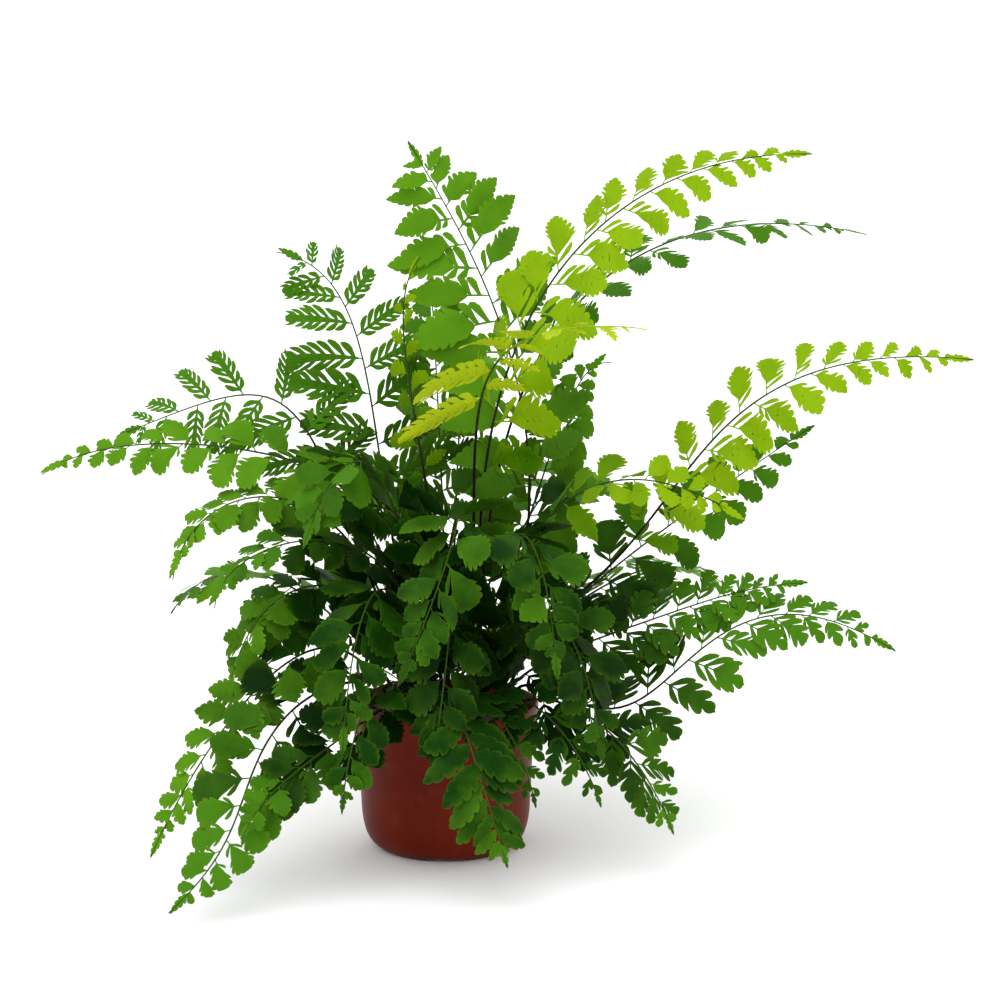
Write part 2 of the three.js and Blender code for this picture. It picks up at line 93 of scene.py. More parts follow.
def srgb(red: int, green: int, blue: int) -> Colour:
    """Turn a colour as a screen shows it into the linear one that shaders use.

    Args:
        red: Red, from 0 to 255.
        green: Green, from 0 to 255.
        blue: Blue, from 0 to 255.

    Returns:
        The linear colour with an alpha of 1.
    """
    knee, low_slope, offset, power = 0.04045, 12.92, 0.055, 2.4
    parts = [part / 255 for part in (red, green, blue)]
    linear = [p / low_slope if p <= knee else ((p + offset) / (1 + offset)) ** power for p in parts]
    return (linear[0], linear[1], linear[2], 1.0)


def mix(first: float, second: float, share: float) -> float:
    """Return the number at a share of the way from the first to the second."""
    return first + (second - first) * share


def metres(place: Sequence[float]) -> list[float]:
    """Return a place or a size in millimetres as one in metres."""
    return [part * MM for part in place]


def in_scene(name: str, data: bpy.types.ID) -> bpy.types.Object:
    """Make an object of a mesh, a light or a camera, and put it in the scene."""
    made = bpy.data.objects.new(name, data)
    bpy.context.scene.collection.objects.link(made)
    return made


def all_round(count: int) -> np.ndarray:
    """Return the angles of this many even steps all round, in radians."""
    return np.arange(count) * 2 * math.pi / count


def unit(rows: np.ndarray) -> np.ndarray:
    """Return the directions of some vectors, each with a length of 1."""
    return rows / np.linalg.norm(rows, axis=-1, keepdims=True)


# Materials


class Value:
    """A number that changes over a surface, with arithmetic that adds Math nodes."""

    def __init__(self, graph: "Graph", socket: bpy.types.NodeSocket) -> None:
        """Wrap a socket of a graph's node."""
        self.graph = graph
        self.socket = socket

    def _with(self, operation: str, other: "Value | float") -> "Value":
        """Add a Math node.

        Args:
            operation: The node's operation.
            other: Its second number. Its first is this one.

        Returns:
            The node's result.
        """
        made = self.graph.node("ShaderNodeMath", {"operation": operation}, {0: self, 1: other})
        return Value(self.graph, made.outputs[0])

    def __add__(self, other: "Value | float") -> "Value":
        """Return the sum."""
        return self._with("ADD", other)

    def __sub__(self, other: "Value | float") -> "Value":
        """Return the difference."""
        return self._with("SUBTRACT", other)

    def __mul__(self, other: "Value | float") -> "Value":
        """Return the product."""
        return self._with("MULTIPLY", other)

    def __pow__(self, exponent: float) -> "Value":
        """Return the power."""
        return self._with("POWER", exponent)

    def limited(self) -> "Value":
        """Return the number, kept from 0 to 1."""
        return self._with("MAXIMUM", 0.0)._with("MINIMUM", 1.0)

    def stretched(self, start: float, by: float) -> "Value":
        """Return how far the number is past a start, stretched and kept from 0 to 1."""
        return ((self - start) * by).limited()


class Graph:
    """A material and its nodes."""

    def __init__(self, name: str) -> None:
        """Make an empty material.

        Args:
            name: The material's name.
        """
        self.material = bpy.data.materials.new(name)
        self.material.use_nodes = True
        self.tree = self.material.node_tree
        self.tree.nodes.clear()

    def node(
        self, kind: str, settings: Mapping[str, object], inputs: Mapping[object, object]
    ) -> bpy.types.Node:
        """Add a node.

        Args:
            kind: The node's type.
            settings: Its settings, which are set first. stops are a ramp's places and colours.
            inputs: The number, colour or link of each of its sockets, by name or by place.

        Returns:
            The node.
        """
        made = self.tree.nodes.new(kind)
        for name, setting in settings.items():
            if name == "stops":
                self._set_stops(made.color_ramp, setting)
            else:
                setattr(made, name, setting)
        for key, given in inputs.items():
            if isinstance(given, Value):
                given = given.socket
            if isinstance(given, bpy.types.NodeSocket):
                self.tree.links.new(given, made.inputs[key])
            else:
                made.inputs[key].default_value = given
        return made

    @staticmethod
    def _set_stops(ramp: bpy.types.ColorRamp, stops: Sequence[tuple[float, Colour]]) -> None:
        """Give a ramp its colours.

        Args:
            ramp: The ramp, as it is when new, with two stops.
            stops: Each stop's place and colour, in order.
        """
        while len(ramp.elements) < len(stops):
            ramp.elements.new(1.0)
        for element, (place, colour) in zip(ramp.elements, stops):
            element.position = place
            element.color = colour

    def place(self) -> bpy.types.NodeSocket:
        """Return the place on the object, in metres."""
        return self.node("ShaderNodeTexCoord", {}, {}).outputs["Object"]

    def noise(self, scale: float, detail: float, rough: float = 0.5) -> Value:
        """Add a cloudy pattern.

        Args:
            scale: How many clouds lie on a metre.
            detail: How many finer layers are added.
            rough: How strong the finer layers are.

        Returns:
            A number round 0.5.
        """
        inputs = {"Vector": self.place(), "Scale": scale, "Detail": detail, "Roughness": rough}
        return Value(self, self.node("ShaderNodeTexNoise", {}, inputs).outputs["Fac"])

    def cells(self, scale: float) -> Value:
        """Return the distance to the middle of the nearest of many small grains."""
        made = self.node("ShaderNodeTexVoronoi", {}, {"Vector": self.place(), "Scale": scale})
        return Value(self, made.outputs["Distance"])

    def blend(self, share: Value | float, first: object, second: object) -> bpy.types.NodeSocket:
        """Mix two colours.

        Args:
            share: How much of the second there is, from 0 to 1.
            first: The first colour or its socket.
            second: The second colour or its socket.

        Returns:
            The mixed colour's socket.
        """
        settings = {"data_type": "RGBA", "clamp_factor": True}
        return self.node("ShaderNodeMix", settings, {0: share, 6: first, 7: second}).outputs[2]

    def ramp(self, share: Value, stops: Sequence[tuple[float, Colour]]) -> bpy.types.NodeSocket:
        """Return the colour of a ramp at a share of it."""
        return self.node("ShaderNodeValToRGB", {"stops": stops}, {"Fac": share}).outputs["Color"]

    def marks(self) -> "Marks":
        """Return what a mesh tells its material at each point."""
        read = self.node("ShaderNodeAttribute", {"attribute_name": MARKS}, {})
        parts = self.node("ShaderNodeSeparateColor", {}, {"Color": read.outputs["Color"]})
        first, second, third = (Value(self, parts.outputs[k]) for k in range(3))
        return Marks(first, second, third, Value(self, read.outputs["Alpha"]))

    def bump(self, height: Value, strength: float, depth: float) -> bpy.types.NodeSocket:
        """Turn a height into a normal.

        Args:
            height: The height, from 0 to 1.
            strength: How strong it is, from 0 to 1.
            depth: How deep a height of 1 is, in millimetres.

        Returns:
            The normal's socket.
        """
        inputs = {"Height": height, "Strength": strength, "Distance": depth * MM}
        return self.node("ShaderNodeBump", {}, inputs).outputs["Normal"]

    def surface(self, inputs: Mapping[str, object]) -> bpy.types.NodeSocket:
        """Return the shader of an opaque surface with these sockets set."""
        return self.node("ShaderNodeBsdfPrincipled", {}, inputs).outputs["BSDF"]

    def done(self, shader: bpy.types.NodeSocket) -> bpy.types.Material:
        """Let the shader cover the surface, and return the material."""
        self.node("ShaderNodeOutputMaterial", {}, {"Surface": shader})
        return self.material


@dataclass(frozen=True)
class Marks:
    """What a mesh tells its material at each point, each from 0 to 1.

    On a leaflet they are the leaflet's lightness, a random tone with painted shade deep inside the
    plant, how near a vein is, how near the blade's edge is and how far along the frond the leaflet
    stands. On a stem the last is the share of its length.
    """

    draw: Value
    vein: Value
    edge: Value
    along: Value


@dataclass(frozen=True)
class LeafFinish:
    """The finish of a leaf blade: two greens, the darker of which also paints the shade deep inside the
    plant, paler veins and tips, and light that comes through.
    """

    name: str
    deep: Colour
    fresh: Colour
    vein: Colour
    edge: Colour
    through: Colour
    share_through: float
    rough: float = 0.43
    rough_spread: float = 0.24
    gloss: float = 0.05
    cloud_scale: float = 42
    mottle_scale: float = 260
    relief_scale: float = 1500
    relief_depth: float = 0.5

    def material(self) -> bpy.types.Material:
        """Build the material and return it."""
        graph = Graph(self.name)
        marks = graph.marks()
        clouds = graph.noise(self.cloud_scale, 3)
        mottle = graph.noise(self.mottle_scale, 4, 0.6)
        fine = graph.noise(self.relief_scale, 2)
        # marks.draw carries painted shade: leaflets deep inside the plant are painted towards the deep green.
        tone = marks.draw * 0.85 + (clouds - 0.5) * 0.7
        tone = tone + marks.along * 0.12 + marks.edge * 0.12 - marks.vein * 0.04
        colour = graph.blend(tone.limited(), self.deep, self.fresh)
        spotted = mottle.stretched(0.5, 2) * (tone * 0.3 + 0.04).limited()
        colour = graph.blend(spotted, colour, self.fresh)
        veined = marks.vein**3 * (tone * 0.2 + 0.02)
        colour = graph.blend(veined.limited(), colour, self.vein)
        edged = marks.edge**5 * (tone * 0.3 + 0.14)
        colour = graph.blend(edged.limited(), colour, self.edge)
        height = marks.vein**2 * -0.04 + mottle * 0.32 + fine * 0.2
        inputs = {
            "Base Color": colour, "Roughness": (mottle * self.rough_spread + self.rough).limited(),
            "Normal": graph.bump(height, 0.5, self.relief_depth), "Specular IOR Level": self.gloss,
        }
        blade = graph.surface(inputs)
        glow = graph.node("ShaderNodeBsdfTranslucent", {}, {"Color": self.through}).outputs["BSDF"]
        both = graph.node("ShaderNodeMixShader", {}, {0: self.share_through, 1: blade, 2: glow})
        return graph.done(both.outputs["Shader"])


@dataclass(frozen=True)
class StemFinish:
    """The finish of stems and ribs, dark and shiny at the foot and green towards the tip."""

    name: str
    foot: Colour
    middle: Colour
    tip: Colour
    foot_until: float = 0.38
    middle_at: float = 0.56
    tip_from: float = 0.76
    streak_scale: float = 300
    gloss: float = 0.07

    def material(self) -> bpy.types.Material:
        """Build the material and return it."""
        graph = Graph(self.name)
        marks = graph.marks()
        streaks = graph.noise(self.streak_scale, 3)
        share = (marks.along + (streaks - 0.5) * 0.25).limited()
        stops = [
            (0.0, self.foot), (self.foot_until, self.foot),
            (self.middle_at, self.middle), (self.tip_from, self.tip),
        ]
        streaked = streaks.stretched(0.5, 2.4) * 0.35
        colour = graph.blend(streaked, graph.ramp(share, stops), self.middle)
        inputs = {
            "Base Color": colour, "Roughness": streaks * 0.3 + 0.26, "Normal": graph.bump(streaks, 0.5, 0.4),
            "Specular IOR Level": self.gloss,
        }
        return graph.done(graph.surface(inputs))


@dataclass(frozen=True)
class PotFinish:
    """The finish of the pot: thin moulded plastic, satin, uneven in tone and a little dusty."""

    name: str = "pot_plastic"
    body: Colour = srgb(106, 27, 6)
    shade: Colour = srgb(86, 19, 4)
    dust: Colour = srgb(126, 58, 32)
    cloud_scale: float = 22
    dust_scale: float = 75
    wave_scale: float = 130
    grain_scale: float = 900
    gloss: float = 0.08

    def material(self) -> bpy.types.Material:
        """Build the material and return it."""
        graph = Graph(self.name)
        clouds = graph.noise(self.cloud_scale, 4)
        grain = graph.noise(self.grain_scale, 3)
        waves = graph.noise(self.wave_scale, 2)
        dusty = graph.noise(self.dust_scale, 5, 0.65).stretched(0.55, 3) * 0.35
        colour = graph.blend(clouds.stretched(0.35, 2.2), self.shade, self.body)
        colour = graph.blend(dusty, colour, self.dust)
        inputs = {
            "Base Color": colour, "Roughness": (clouds * 0.16 + grain * 0.14 + 0.28 + dusty * 0.3).limited(),
            "Normal": graph.bump(grain * 0.5 + waves * 0.5, 0.35, 0.25), "Specular IOR Level": self.gloss,
        }
        return graph.done(graph.surface(inputs))


@dataclass(frozen=True)
class SoilFinish:
    """The finish of damp potting soil, its crumbs and its fibres, which the vein mark tells."""

    name: str = "potting_soil_dark"
    wet: Colour = srgb(22, 15, 11)
    dry: Colour = srgb(64, 46, 33)
    fibre: Colour = srgb(104, 78, 52)
    clump_scale: float = 170
    grain_scale: float = 620

    def material(self) -> bpy.types.Material:
        """Build the material and return it."""
        graph = Graph(self.name)
        marks = graph.marks()
        clumps = graph.noise(self.clump_scale, 5, 0.65)
        grains = graph.cells(self.grain_scale)
        dryness = clumps.stretched(0.4, 2.5) * 0.8 + marks.draw * 0.2
        colour = graph.blend(dryness, self.wet, self.dry)
        colour = graph.blend((marks.vein * 0.8).limited(), colour, self.fibre)
        inputs = {
            "Base Color": colour, "Roughness": (clumps * 0.4 + 0.62).limited(),
            "Normal": graph.bump(clumps * 0.7 + grains * 0.5, 0.9, 1.2),
        }
        return graph.done(graph.surface(inputs))


@dataclass(frozen=True)
class FloorFinish:
    """The plain pale studio floor."""

    name: str = "studio_floor"
    light: Colour = (0.93, 0.93, 0.93, 1.0)
    shade: Colour = (0.9, 0.9, 0.9, 1.0)
    cloud_scale: float = 3
    rough: float = 0.8

    def material(self) -> bpy.types.Material:
        """Build the material and return it."""
        graph = Graph(self.name)
        colour = graph.blend(graph.noise(self.cloud_scale, 2), self.light, self.shade)
        return graph.done(graph.surface({"Base Color": colour, "Roughness": self.rough}))


LEAF_FINISHES = {
    Age.OLD: LeafFinish(
        "leaf_old_green",
        deep=srgb(9, 38, 2), fresh=srgb(66, 120, 13), vein=srgb(76, 124, 20), edge=srgb(104, 104, 18),
        through=srgb(50, 100, 2), share_through=0.1,
    ),
    Age.MID: LeafFinish(
        "leaf_mid_green",
        deep=srgb(12, 50, 2), fresh=srgb(86, 140, 16), vein=srgb(94, 144, 24), edge=srgb(100, 134, 20),
        through=srgb(78, 136, 2), share_through=0.14,
    ),
    Age.BRIGHT: LeafFinish(
        "leaf_bright_green",
        deep=srgb(44, 100, 1), fresh=srgb(138, 174, 8), vein=srgb(150, 184, 24), edge=srgb(160, 182, 20),
        through=srgb(135, 190, 1), share_through=0.28,
    ),
    Age.YOUNG: LeafFinish(
        "leaf_young_green",
        deep=srgb(140, 170, 4), fresh=srgb(184, 202, 26), vein=srgb(190, 206, 50), edge=srgb(192, 202, 40),
        through=srgb(180, 205, 8), share_through=0.32,
    ),
}
STEM_FINISH = StemFinish("stem_brown", srgb(20, 14, 8), srgb(38, 36, 12), srgb(44, 70, 10))
YOUNG_STEM_FINISH = StemFinish("stem_green", srgb(22, 18, 8), srgb(52, 76, 10), srgb(134, 164, 32))


# Meshes


class Sheaf:
    """Collects the points and faces of one piece until they become a mesh.

    Each batch brings its own points, faces, marks and flat map. Faces of four corners and of
    three may be given, in batches of their own.
    """

    def __init__(self) -> None:
        """Start with nothing."""
        self.points: list[np.ndarray] = []
        self.marks: list[np.ndarray] = []
        self.corners: list[np.ndarray] = []
        self.sizes: list[np.ndarray] = []
        self.slots: list[np.ndarray] = []
        self.flat: list[np.ndarray] = []
        self.count = 0

    def add_points(self, points: np.ndarray, marks: np.ndarray) -> int:
        """Add points.

        Args:
            points: Their places, in millimetres, one row each.
            marks: Their four marks, one row each.

        Returns:
            The number of the first of them.
        """
        first = self.count
        self.points.append(points)
        self.marks.append(np.broadcast_to(marks, (len(points), 4)))
        self.count += len(points)
        return first

    def add_faces(self, faces: np.ndarray, flat: np.ndarray, slot: int = 0) -> None:
        """Add faces with the same number of corners.

        Args:
            faces: The point at each corner, one row for each face.
            flat: The place of each corner on the flat map, as (face, corner, 2).
            slot: The number of their material.
        """
        self.corners.append(faces.ravel())
        self.sizes.append(np.full(len(faces), faces.shape[1]))
        self.slots.append(np.full(len(faces), slot))
        self.flat.append(flat.reshape(-1, 2))

    def add_tube(
        self, points: np.ndarray, marks: np.ndarray, flat: np.ndarray, ends: tuple[np.ndarray, np.ndarray],
        turned_over: bool = False, slot: int = 0,
    ) -> None:
        """Add rings of points as a tube that is closed at both ends.

        Args:
            points: The rings, as (ring, side, 3).
            marks: The four marks of each point, or of all.
            flat: The place of each side face's corners on the flat map, as (face, corner, 2).
            ends: The place on the flat map of the first and the last ring's cap.
            turned_over: Whether the faces show their other side.
            slot: The number of their material.
        """
        rings, sides = points.shape[:2]
        first = self.add_points(points.reshape(-1, 3), marks.reshape(-1, 4))
        ids = np.arange(rings * sides).reshape(rings, sides) + first
        order = -1 if turned_over else 1
        self.add_faces(grid_faces(ids, around=True)[:, ::order], flat[:, ::order], slot)
        for ring, way, spot in ((ids[0], order, ends[0]), (ids[-1], -order, ends[1])):
            cap = cap_faces(ring[::way])
            self.add_faces(cap, np.broadcast_to(spot, (len(cap), 3, 2)), slot)

    def triangles(self) -> int:
        """Return how many triangles the faces make."""
        return int(sum((size - 2).sum() for size in self.sizes))

    def to_object(self, name: str, materials: Sequence[bpy.types.Material], sharp: float) -> bpy.types.Object:
        """Make the mesh and its object.

        Args:
            name: The object's name.
            materials: Its materials, in the order of the slots.
            sharp: The angle between two faces past which their edge stays sharp, in degrees.

        Returns:
            The object, in the scene.
        """
        mesh = bpy.data.meshes.new(name)
        corners = np.concatenate(self.corners).astype(np.int32)
        sizes = np.concatenate(self.sizes)
        mesh.vertices.add(self.count)
        mesh.vertices.foreach_set("co", (np.concatenate(self.points) * MM).astype(np.float32).ravel())
        mesh.loops.add(len(corners))
        mesh.loops.foreach_set("vertex_index", corners)
        mesh.polygons.add(len(sizes))
        mesh.polygons.foreach_set("loop_start", np.concatenate([[0], np.cumsum(sizes)[:-1]]).astype(np.int32))
        mesh.polygons.foreach_set("material_index", np.concatenate(self.slots).astype(np.int32))
        mesh.update(calc_edges=True)
        layer = mesh.uv_layers.new(name=FLAT_MAP)
        layer.uv.foreach_set("vector", np.concatenate(self.flat).astype(np.float32).ravel())
        marks = mesh.attributes.new(MARKS, "FLOAT_COLOR", "POINT")
        marks.data.foreach_set("color", np.concatenate(self.marks).astype(np.float32).ravel())
        mesh.polygons.foreach_set("use_smooth", np.ones(len(sizes), bool))
        mesh.set_sharp_from_angle(angle=math.radians(sharp))
        for material in materials:
            mesh.materials.append(material)
        return in_scene(name, mesh)


def grid_faces(ids: np.ndarray, around: bool = False) -> np.ndarray:
    """Join a grid of points with faces of four corners.

    Args:
        ids: The number of each point, as (row, column).
        around: Whether the last column joins the first.

    Returns:
        The faces, one row each, counter-clockwise for rows that go up and columns that go left.
    """
    after = np.roll(ids, -1, axis=1) if around else ids[:, 1:]
    here = ids if around else ids[:, :-1]
    return np.stack([here[:-1], here[1:], after[1:], after[:-1]], axis=-1).reshape(-1, 4)


def cap_faces(ring: np.ndarray) -> np.ndarray:
    """Return the triangles that close a ring of points, each with a corner at its first point."""
    return np.stack([np.full(len(ring) - 2, ring[0]), ring[1:-1], ring[2:]], axis=-1)


@dataclass(frozen=True)
class MapSheet:
    """A piece's flat map, split into equal square cells with a margin round each."""

    cells: int
    margin: float = 0.04

    def put(self, cell: int, shape: np.ndarray) -> np.ndarray:
        """Fit flat places into a cell.

        Args:
            cell: The cell's number.
            shape: The places, as (..., 2).

        Returns:
            The places on the map, from 0 to 1.
        """
        side = math.ceil(math.sqrt(self.cells))
        low = shape.reshape(-1, 2).min(axis=0)
        span = float((shape.reshape(-1, 2).max(axis=0) - low).max())
        inside = (shape - low) / max(span, 1e-6) * (1 - 2 * self.margin) + self.margin
        return (inside + np.array([cell % side, cell // side])) / side


# Leaflets


@dataclass(frozen=True)
class LobeShape:
    """The outline of one lobe, as points in order from the stalk's side to the tip's side.

    Each point says where its ray leaves the rib and where it ends, both beside the lobe's middle
    in half widths of the lobe, and how far it reaches, as a share of the lobe's length.
    """

    points: tuple[Point, ...]


RIB_WING = 0.02
LEAN_DRAW = 4
SPOON = LobeShape(
    (
        (-0.42, -0.42, 0), (-0.36, -0.66, 0.34), (-0.28, -1.08, 0.62), (-0.18, -1.0, 0.86),
        (-0.04, -0.36, 0.99), (0.1, 0.46, 1), (0.22, 1.0, 0.84), (0.32, 0.92, 0.5), (0.42, 0.44, 0),
    )
)
PADDLE = LobeShape(
    (
        (-0.4, -0.4, 0), (-0.32, -0.62, 0.42), (-0.22, -1.0, 0.74), (-0.08, -0.62, 0.96),
        (0.06, 0.12, 1), (0.2, 0.84, 0.88), (0.3, 0.78, 0.5), (0.4, 0.4, 0),
    )
)


@dataclass(frozen=True)
class BladeShape:
    """The smooth outline of one side of a blade, before its teeth are cut.

    Both rows hold values at even steps along the margin, from the blade's base to its tip: the
    place along the blade, as a share of its length, and the width, as a share of the widest.
    """

    along: tuple[float, ...]
    across: tuple[float, ...]

    def blended(self, other: "BladeShape", share: float) -> "BladeShape":
        """Return the outline at a share of the way to another one."""
        along = tuple(mix(a, b, share) for a, b in zip(self.along, other.along))
        across = tuple(mix(a, b, share) for a, b in zip(self.across, other.across))
        return BladeShape(along, across)


FAN_SIDE = BladeShape(
    (0, 0.14, 0.3, 0.46, 0.61, 0.75, 0.87, 0.95, 0.99, 1),
    (0.05, 0.2, 0.43, 0.68, 0.89, 1, 0.95, 0.7, 0.38, 0.03),
)
ROUND_SIDE = BladeShape(
    (0, 0.1, 0.23, 0.38, 0.54, 0.69, 0.82, 0.92, 0.98, 1),
    (0.08, 0.38, 0.7, 0.91, 1, 0.97, 0.83, 0.57, 0.3, 0.03),
)
RHOMB_SIDE = BladeShape(
    (0, 0.12, 0.25, 0.36, 0.46, 0.58, 0.7, 0.82, 0.92, 1),
    (0.06, 0.42, 0.8, 1, 0.98, 0.84, 0.65, 0.42, 0.22, 0.03),
)
LANCE_SIDE = BladeShape(
    (0, 0.08, 0.18, 0.3, 0.44, 0.58, 0.72, 0.85, 0.95, 1),
    (0.12, 0.55, 0.85, 0.98, 1, 0.93, 0.76, 0.52, 0.26, 0.04),
)

Row = tuple[float, float, float, float]


@dataclass(frozen=True)
class LeafletForm:
    """What every leaflet has: a stalk, and free lobes between the stalk and the blade.

    lengths are the least lengths, in millimetres, of a leaflet whose side has one tooth or strap,
    two and so on, and free_from is the room in length that each free lobe needs. stalk_half is
    half the stalk's width, in millimetres, and free_lean is the angle between a free lobe and the
    rib. free_below is how likely the side away from the frond's tip has free lobes too. The other
    lengths are shares of the leaflet's length, and reaches are shares of its half width. tip_half
    is the width of the outline's last row, next to the widest.

    A row of an outline says where a ray leaves the rib, where it ends along and across the
    leaflet, and how near a vein it runs.
    """

    stalk: float
    lengths: tuple[float, ...]
    free_from: float = 16
    free_room: float = 0.13
    free_reach: float = 0.78
    free_lean: float = 48
    free_count: int = 1
    free_below: float = 0.4
    free_shape: LobeShape = PADDLE
    free_draw: Range = (0.85, 1.1)
    stalk_half: float = 0.42
    stalk_row: float = 0.55
    blade_gap: float = 0.012
    tip_half: float = 0.03

    def parts(self, length: float) -> int:
        """Return how many teeth or lobes each side of a leaflet of this length has."""
        return sum(length >= least for least in self.lengths)

    def base(self, length: float, half_width: float, free: bool, draw: np.random.Generator) -> list[Row]:
        """Lay out the stalk and the free lobe of one side.

        Args:
            length: The leaflet's length, in millimetres.
            half_width: Half its width, as a share of its length.
            free: Whether this side has a free lobe, if the leaflet is long enough.
            draw: Where the lobes' small differences come from.

        Returns:
            The rows.
        """
        thin = self.stalk_half / length
        rows = [(place, place, thin, 1.0) for place in (0.0, self.stalk * self.stalk_row)]
        for k in range(min(self.free_count, int(length // self.free_from))):
            size = half_width * self.free_reach * draw.uniform(*self.free_draw)
            start = self.stalk + self.free_room * k
            lobe = lobe_rows(self.free_shape, start, start + self.free_room, self.free_lean, 1.0, size, draw)
            rows += lobe if free else [(row[0], row[0], thin, 1.0) for row in lobe]
        blade_start = rows[-1][0] + self.blade_gap
        return [*rows, (blade_start, blade_start, thin, 1.0)]


def lobe_rows(
    shape: LobeShape, start: float, end: float, lean: float, cut: float, size: float,
    draw: np.random.Generator,
) -> list[Row]:
    """Lay out the rays of one lobe.

    Args:
        shape: The lobe's outline.
        start: Where it begins on the rib.
        end: Where it ends on the rib.
        lean: The angle between it and the rib, in degrees.
        cut: How deep the gap beside it runs, from 0 to 1 for down to the rib.
        size: How far it reaches across the leaflet.
        draw: Where its small differences come from.

    Returns:
        The rows.
    """
    angle = math.radians(lean + draw.uniform(-LEAN_DRAW, LEAN_DRAW))
    middle, half = (start + end) / 2, (end - start) / 2
    reach = size / math.sin(angle)
    floor = max(RIB_WING / reach, 1 - cut)
    rows = []
    for at_rib, at_end, far in shape.points:
        ray = reach * mix(floor, 1, far)
        along = middle + half * at_end + ray * math.cos(angle)
        rows.append((middle + half * at_rib, along, ray * math.sin(angle), 1 - abs(at_rib)))
    return rows


@dataclass(frozen=True)
class ScallopedForm(LeafletForm):
    """A broad blade with blunt teeth along its margin past a plain wedge at its base.

    plain is the share of the margin that the wedge takes, the cuts are how deep the gaps between
    the teeth are, fan is how far back on the rib the rays start, and tooth is how far the margin
    bulges at some shares of one tooth.
    """

    shapes: tuple[BladeShape, BladeShape] = (FAN_SIDE, RHOMB_SIDE)
    plain: float = 0.34
    first_cut: Range = (0.2, 0.5)
    last_cut: float = 0.14
    cut_draw: Range = (0.8, 1.2)
    fan: float = 0.62
    margin_start: float = 0.02
    margin_end: float = 0.985
    last_ray: float = 0.99
    plain_vein: float = 0.2
    tooth: Profile = ((0, 0), (0.1, 0.56), (0.27, 0.88), (0.5, 1), (0.73, 0.95), (0.9, 0.64))

    def outline(self, length: float, half_width: float, upper: bool, draw: np.random.Generator) -> np.ndarray:
        """Lay out the rows of one side of a leaflet.

        Args:
            length: The leaflet's length, in millimetres.
            half_width: Half its width, as a share of its length.
            upper: Whether it is the side nearer the frond's tip.
            draw: Where the small differences come from.

        Returns:
            The rows, the last of them at the tip.
        """
        rows = self.base(length, half_width, upper or draw.uniform() < self.free_below, draw)
        place = rows[-1][0]
        shape = self.shapes[0].blended(self.shapes[1], draw.uniform())
        count = max(self.parts(length), 1)
        cut = draw.uniform(*self.first_cut)
        steps = np.linspace(0, 1, len(shape.along))
        spots = [(step, 1.0, 0.0, self.plain_vein) for step in (self.margin_start, self.plain * 0.5)]
        for k in range(count):
            depth = mix(cut, self.last_cut, min(k / 2, 1)) * draw.uniform(*self.cut_draw)
            for at, bulge in self.tooth:
                step = mix(self.plain, self.margin_end, (k + at) / count)
                spots.append((step, bulge, depth if k or at else depth * 0.5, bulge))
        least = place
        for step, bulge, depth, vein in spots:
            along = mix(place, 1, float(np.interp(step, steps, shape.along)))
            across = half_width * float(np.interp(step, steps, shape.across))
            least = max(least + 1e-4, min(along - self.fan * across, self.last_ray))
            keep = 1 - depth * (1 - bulge)
            rows.append((least, mix(least, along, keep), across * keep, vein))
        return np.array([*rows, (1.0, 1.0, half_width * self.tip_half, 0.5)])


@dataclass(frozen=True)
class CombForm(LeafletForm):
    """A narrow blade cut into straps, which run together towards a toothed tip.

    lean and cut are those of the first and the last strap, reach is that of the first, the widest
    and the last, and tip is the share of the blade past the last strap. The powers say how the
    straps' places, cuts and reaches change along the blade.
    """

    free_count: int = 0
    tip_half: float = 0.05
    lean: Range = (48, 28)
    cut: Range = (0.97, 0.38)
    reach: Point = (0.82, 1.0, 0.84)
    widest: float = 0.5
    tip: float = 0.24
    place_power: float = 0.96
    cut_power: float = 1.6
    reach_power: float = 1.2
    size_draw: Range = (0.88, 1.08)
    sides_differ: float = 0.06
    tip_share: float = 0.62
    tip_rows: tuple[Point, ...] = (
        (0.06, 0.3, 0.72), (0.2, 0.5, 1.0), (0.36, 0.66, 0.92), (0.56, 0.8, 0.72), (0.76, 0.95, 0.66),
        (0.9, 1, 0.34),
    )

    def outline(self, length: float, half_width: float, upper: bool, draw: np.random.Generator) -> np.ndarray:
        """Lay out the rows of one side of a leaflet.

        Args:
            length: The leaflet's length, in millimetres.
            half_width: Half its width, as a share of its length.
            upper: Whether it is the side nearer the frond's tip.
            draw: Where the small differences come from.

        Returns:
            The rows, the last of them at the tip.
        """
        rows = self.base(length, half_width, False, draw)
        place, end = rows[-1][0], 1 - self.tip
        count = max(self.parts(length), 2)
        edges = place + (end - place) * (np.arange(count + 1) / count) ** self.place_power
        for k in range(count):
            share = k / (count - 1)
            lean, cut = mix(*self.lean, share), mix(*self.cut, share**self.cut_power)
            size = half_width * self._reach(share) * draw.uniform(*self.size_draw)
            size *= 1 + self.sides_differ if upper else 1 - self.sides_differ
            rows += lobe_rows(SPOON, edges[k], edges[k + 1], lean, cut, size, draw)
        width = half_width * self.reach[2] * self.tip_share
        rows += [(mix(end, 1, rib), mix(end, 1, out), width * far, 0.5) for rib, out, far in self.tip_rows]
        return np.array([*rows, (1.0, 1.0, width * self.tip_half, 0.5)])

    def _reach(self, share: float) -> float:
        """Return how far the lobe at this share of the blade reaches."""
        low, middle, high = self.reach
        if share < self.widest:
            return mix(low, middle, math.sin(share / self.widest * math.pi / 2))
        return mix(middle, high, ((share - self.widest) / (1 - self.widest)) ** self.reach_power)


@dataclass(frozen=True)
class KindSizes:
    """What the leaflets of one kind have in common.

    lean is the angle between a leaflet and the rib, in degrees, width is its width as a share of
    its length, fill is how much of the room to the next leaflet it may take, uneven is how much
    wider its upper half is, full is how long the leaflets stay their full length towards the
    frond's tip, spread is how much further the lowest leaflets lean out, and tilt is how far they
    may turn out of the frond's face, both in degrees. far_side is how long those on the left side
    are, next to those on the right.
    """

    form: ScallopedForm | CombForm
    lean: float
    width: float
    fill: float
    uneven: float
    full: float
    spread: float
    tilt: float = 20.0
    far_side: float = 1.0


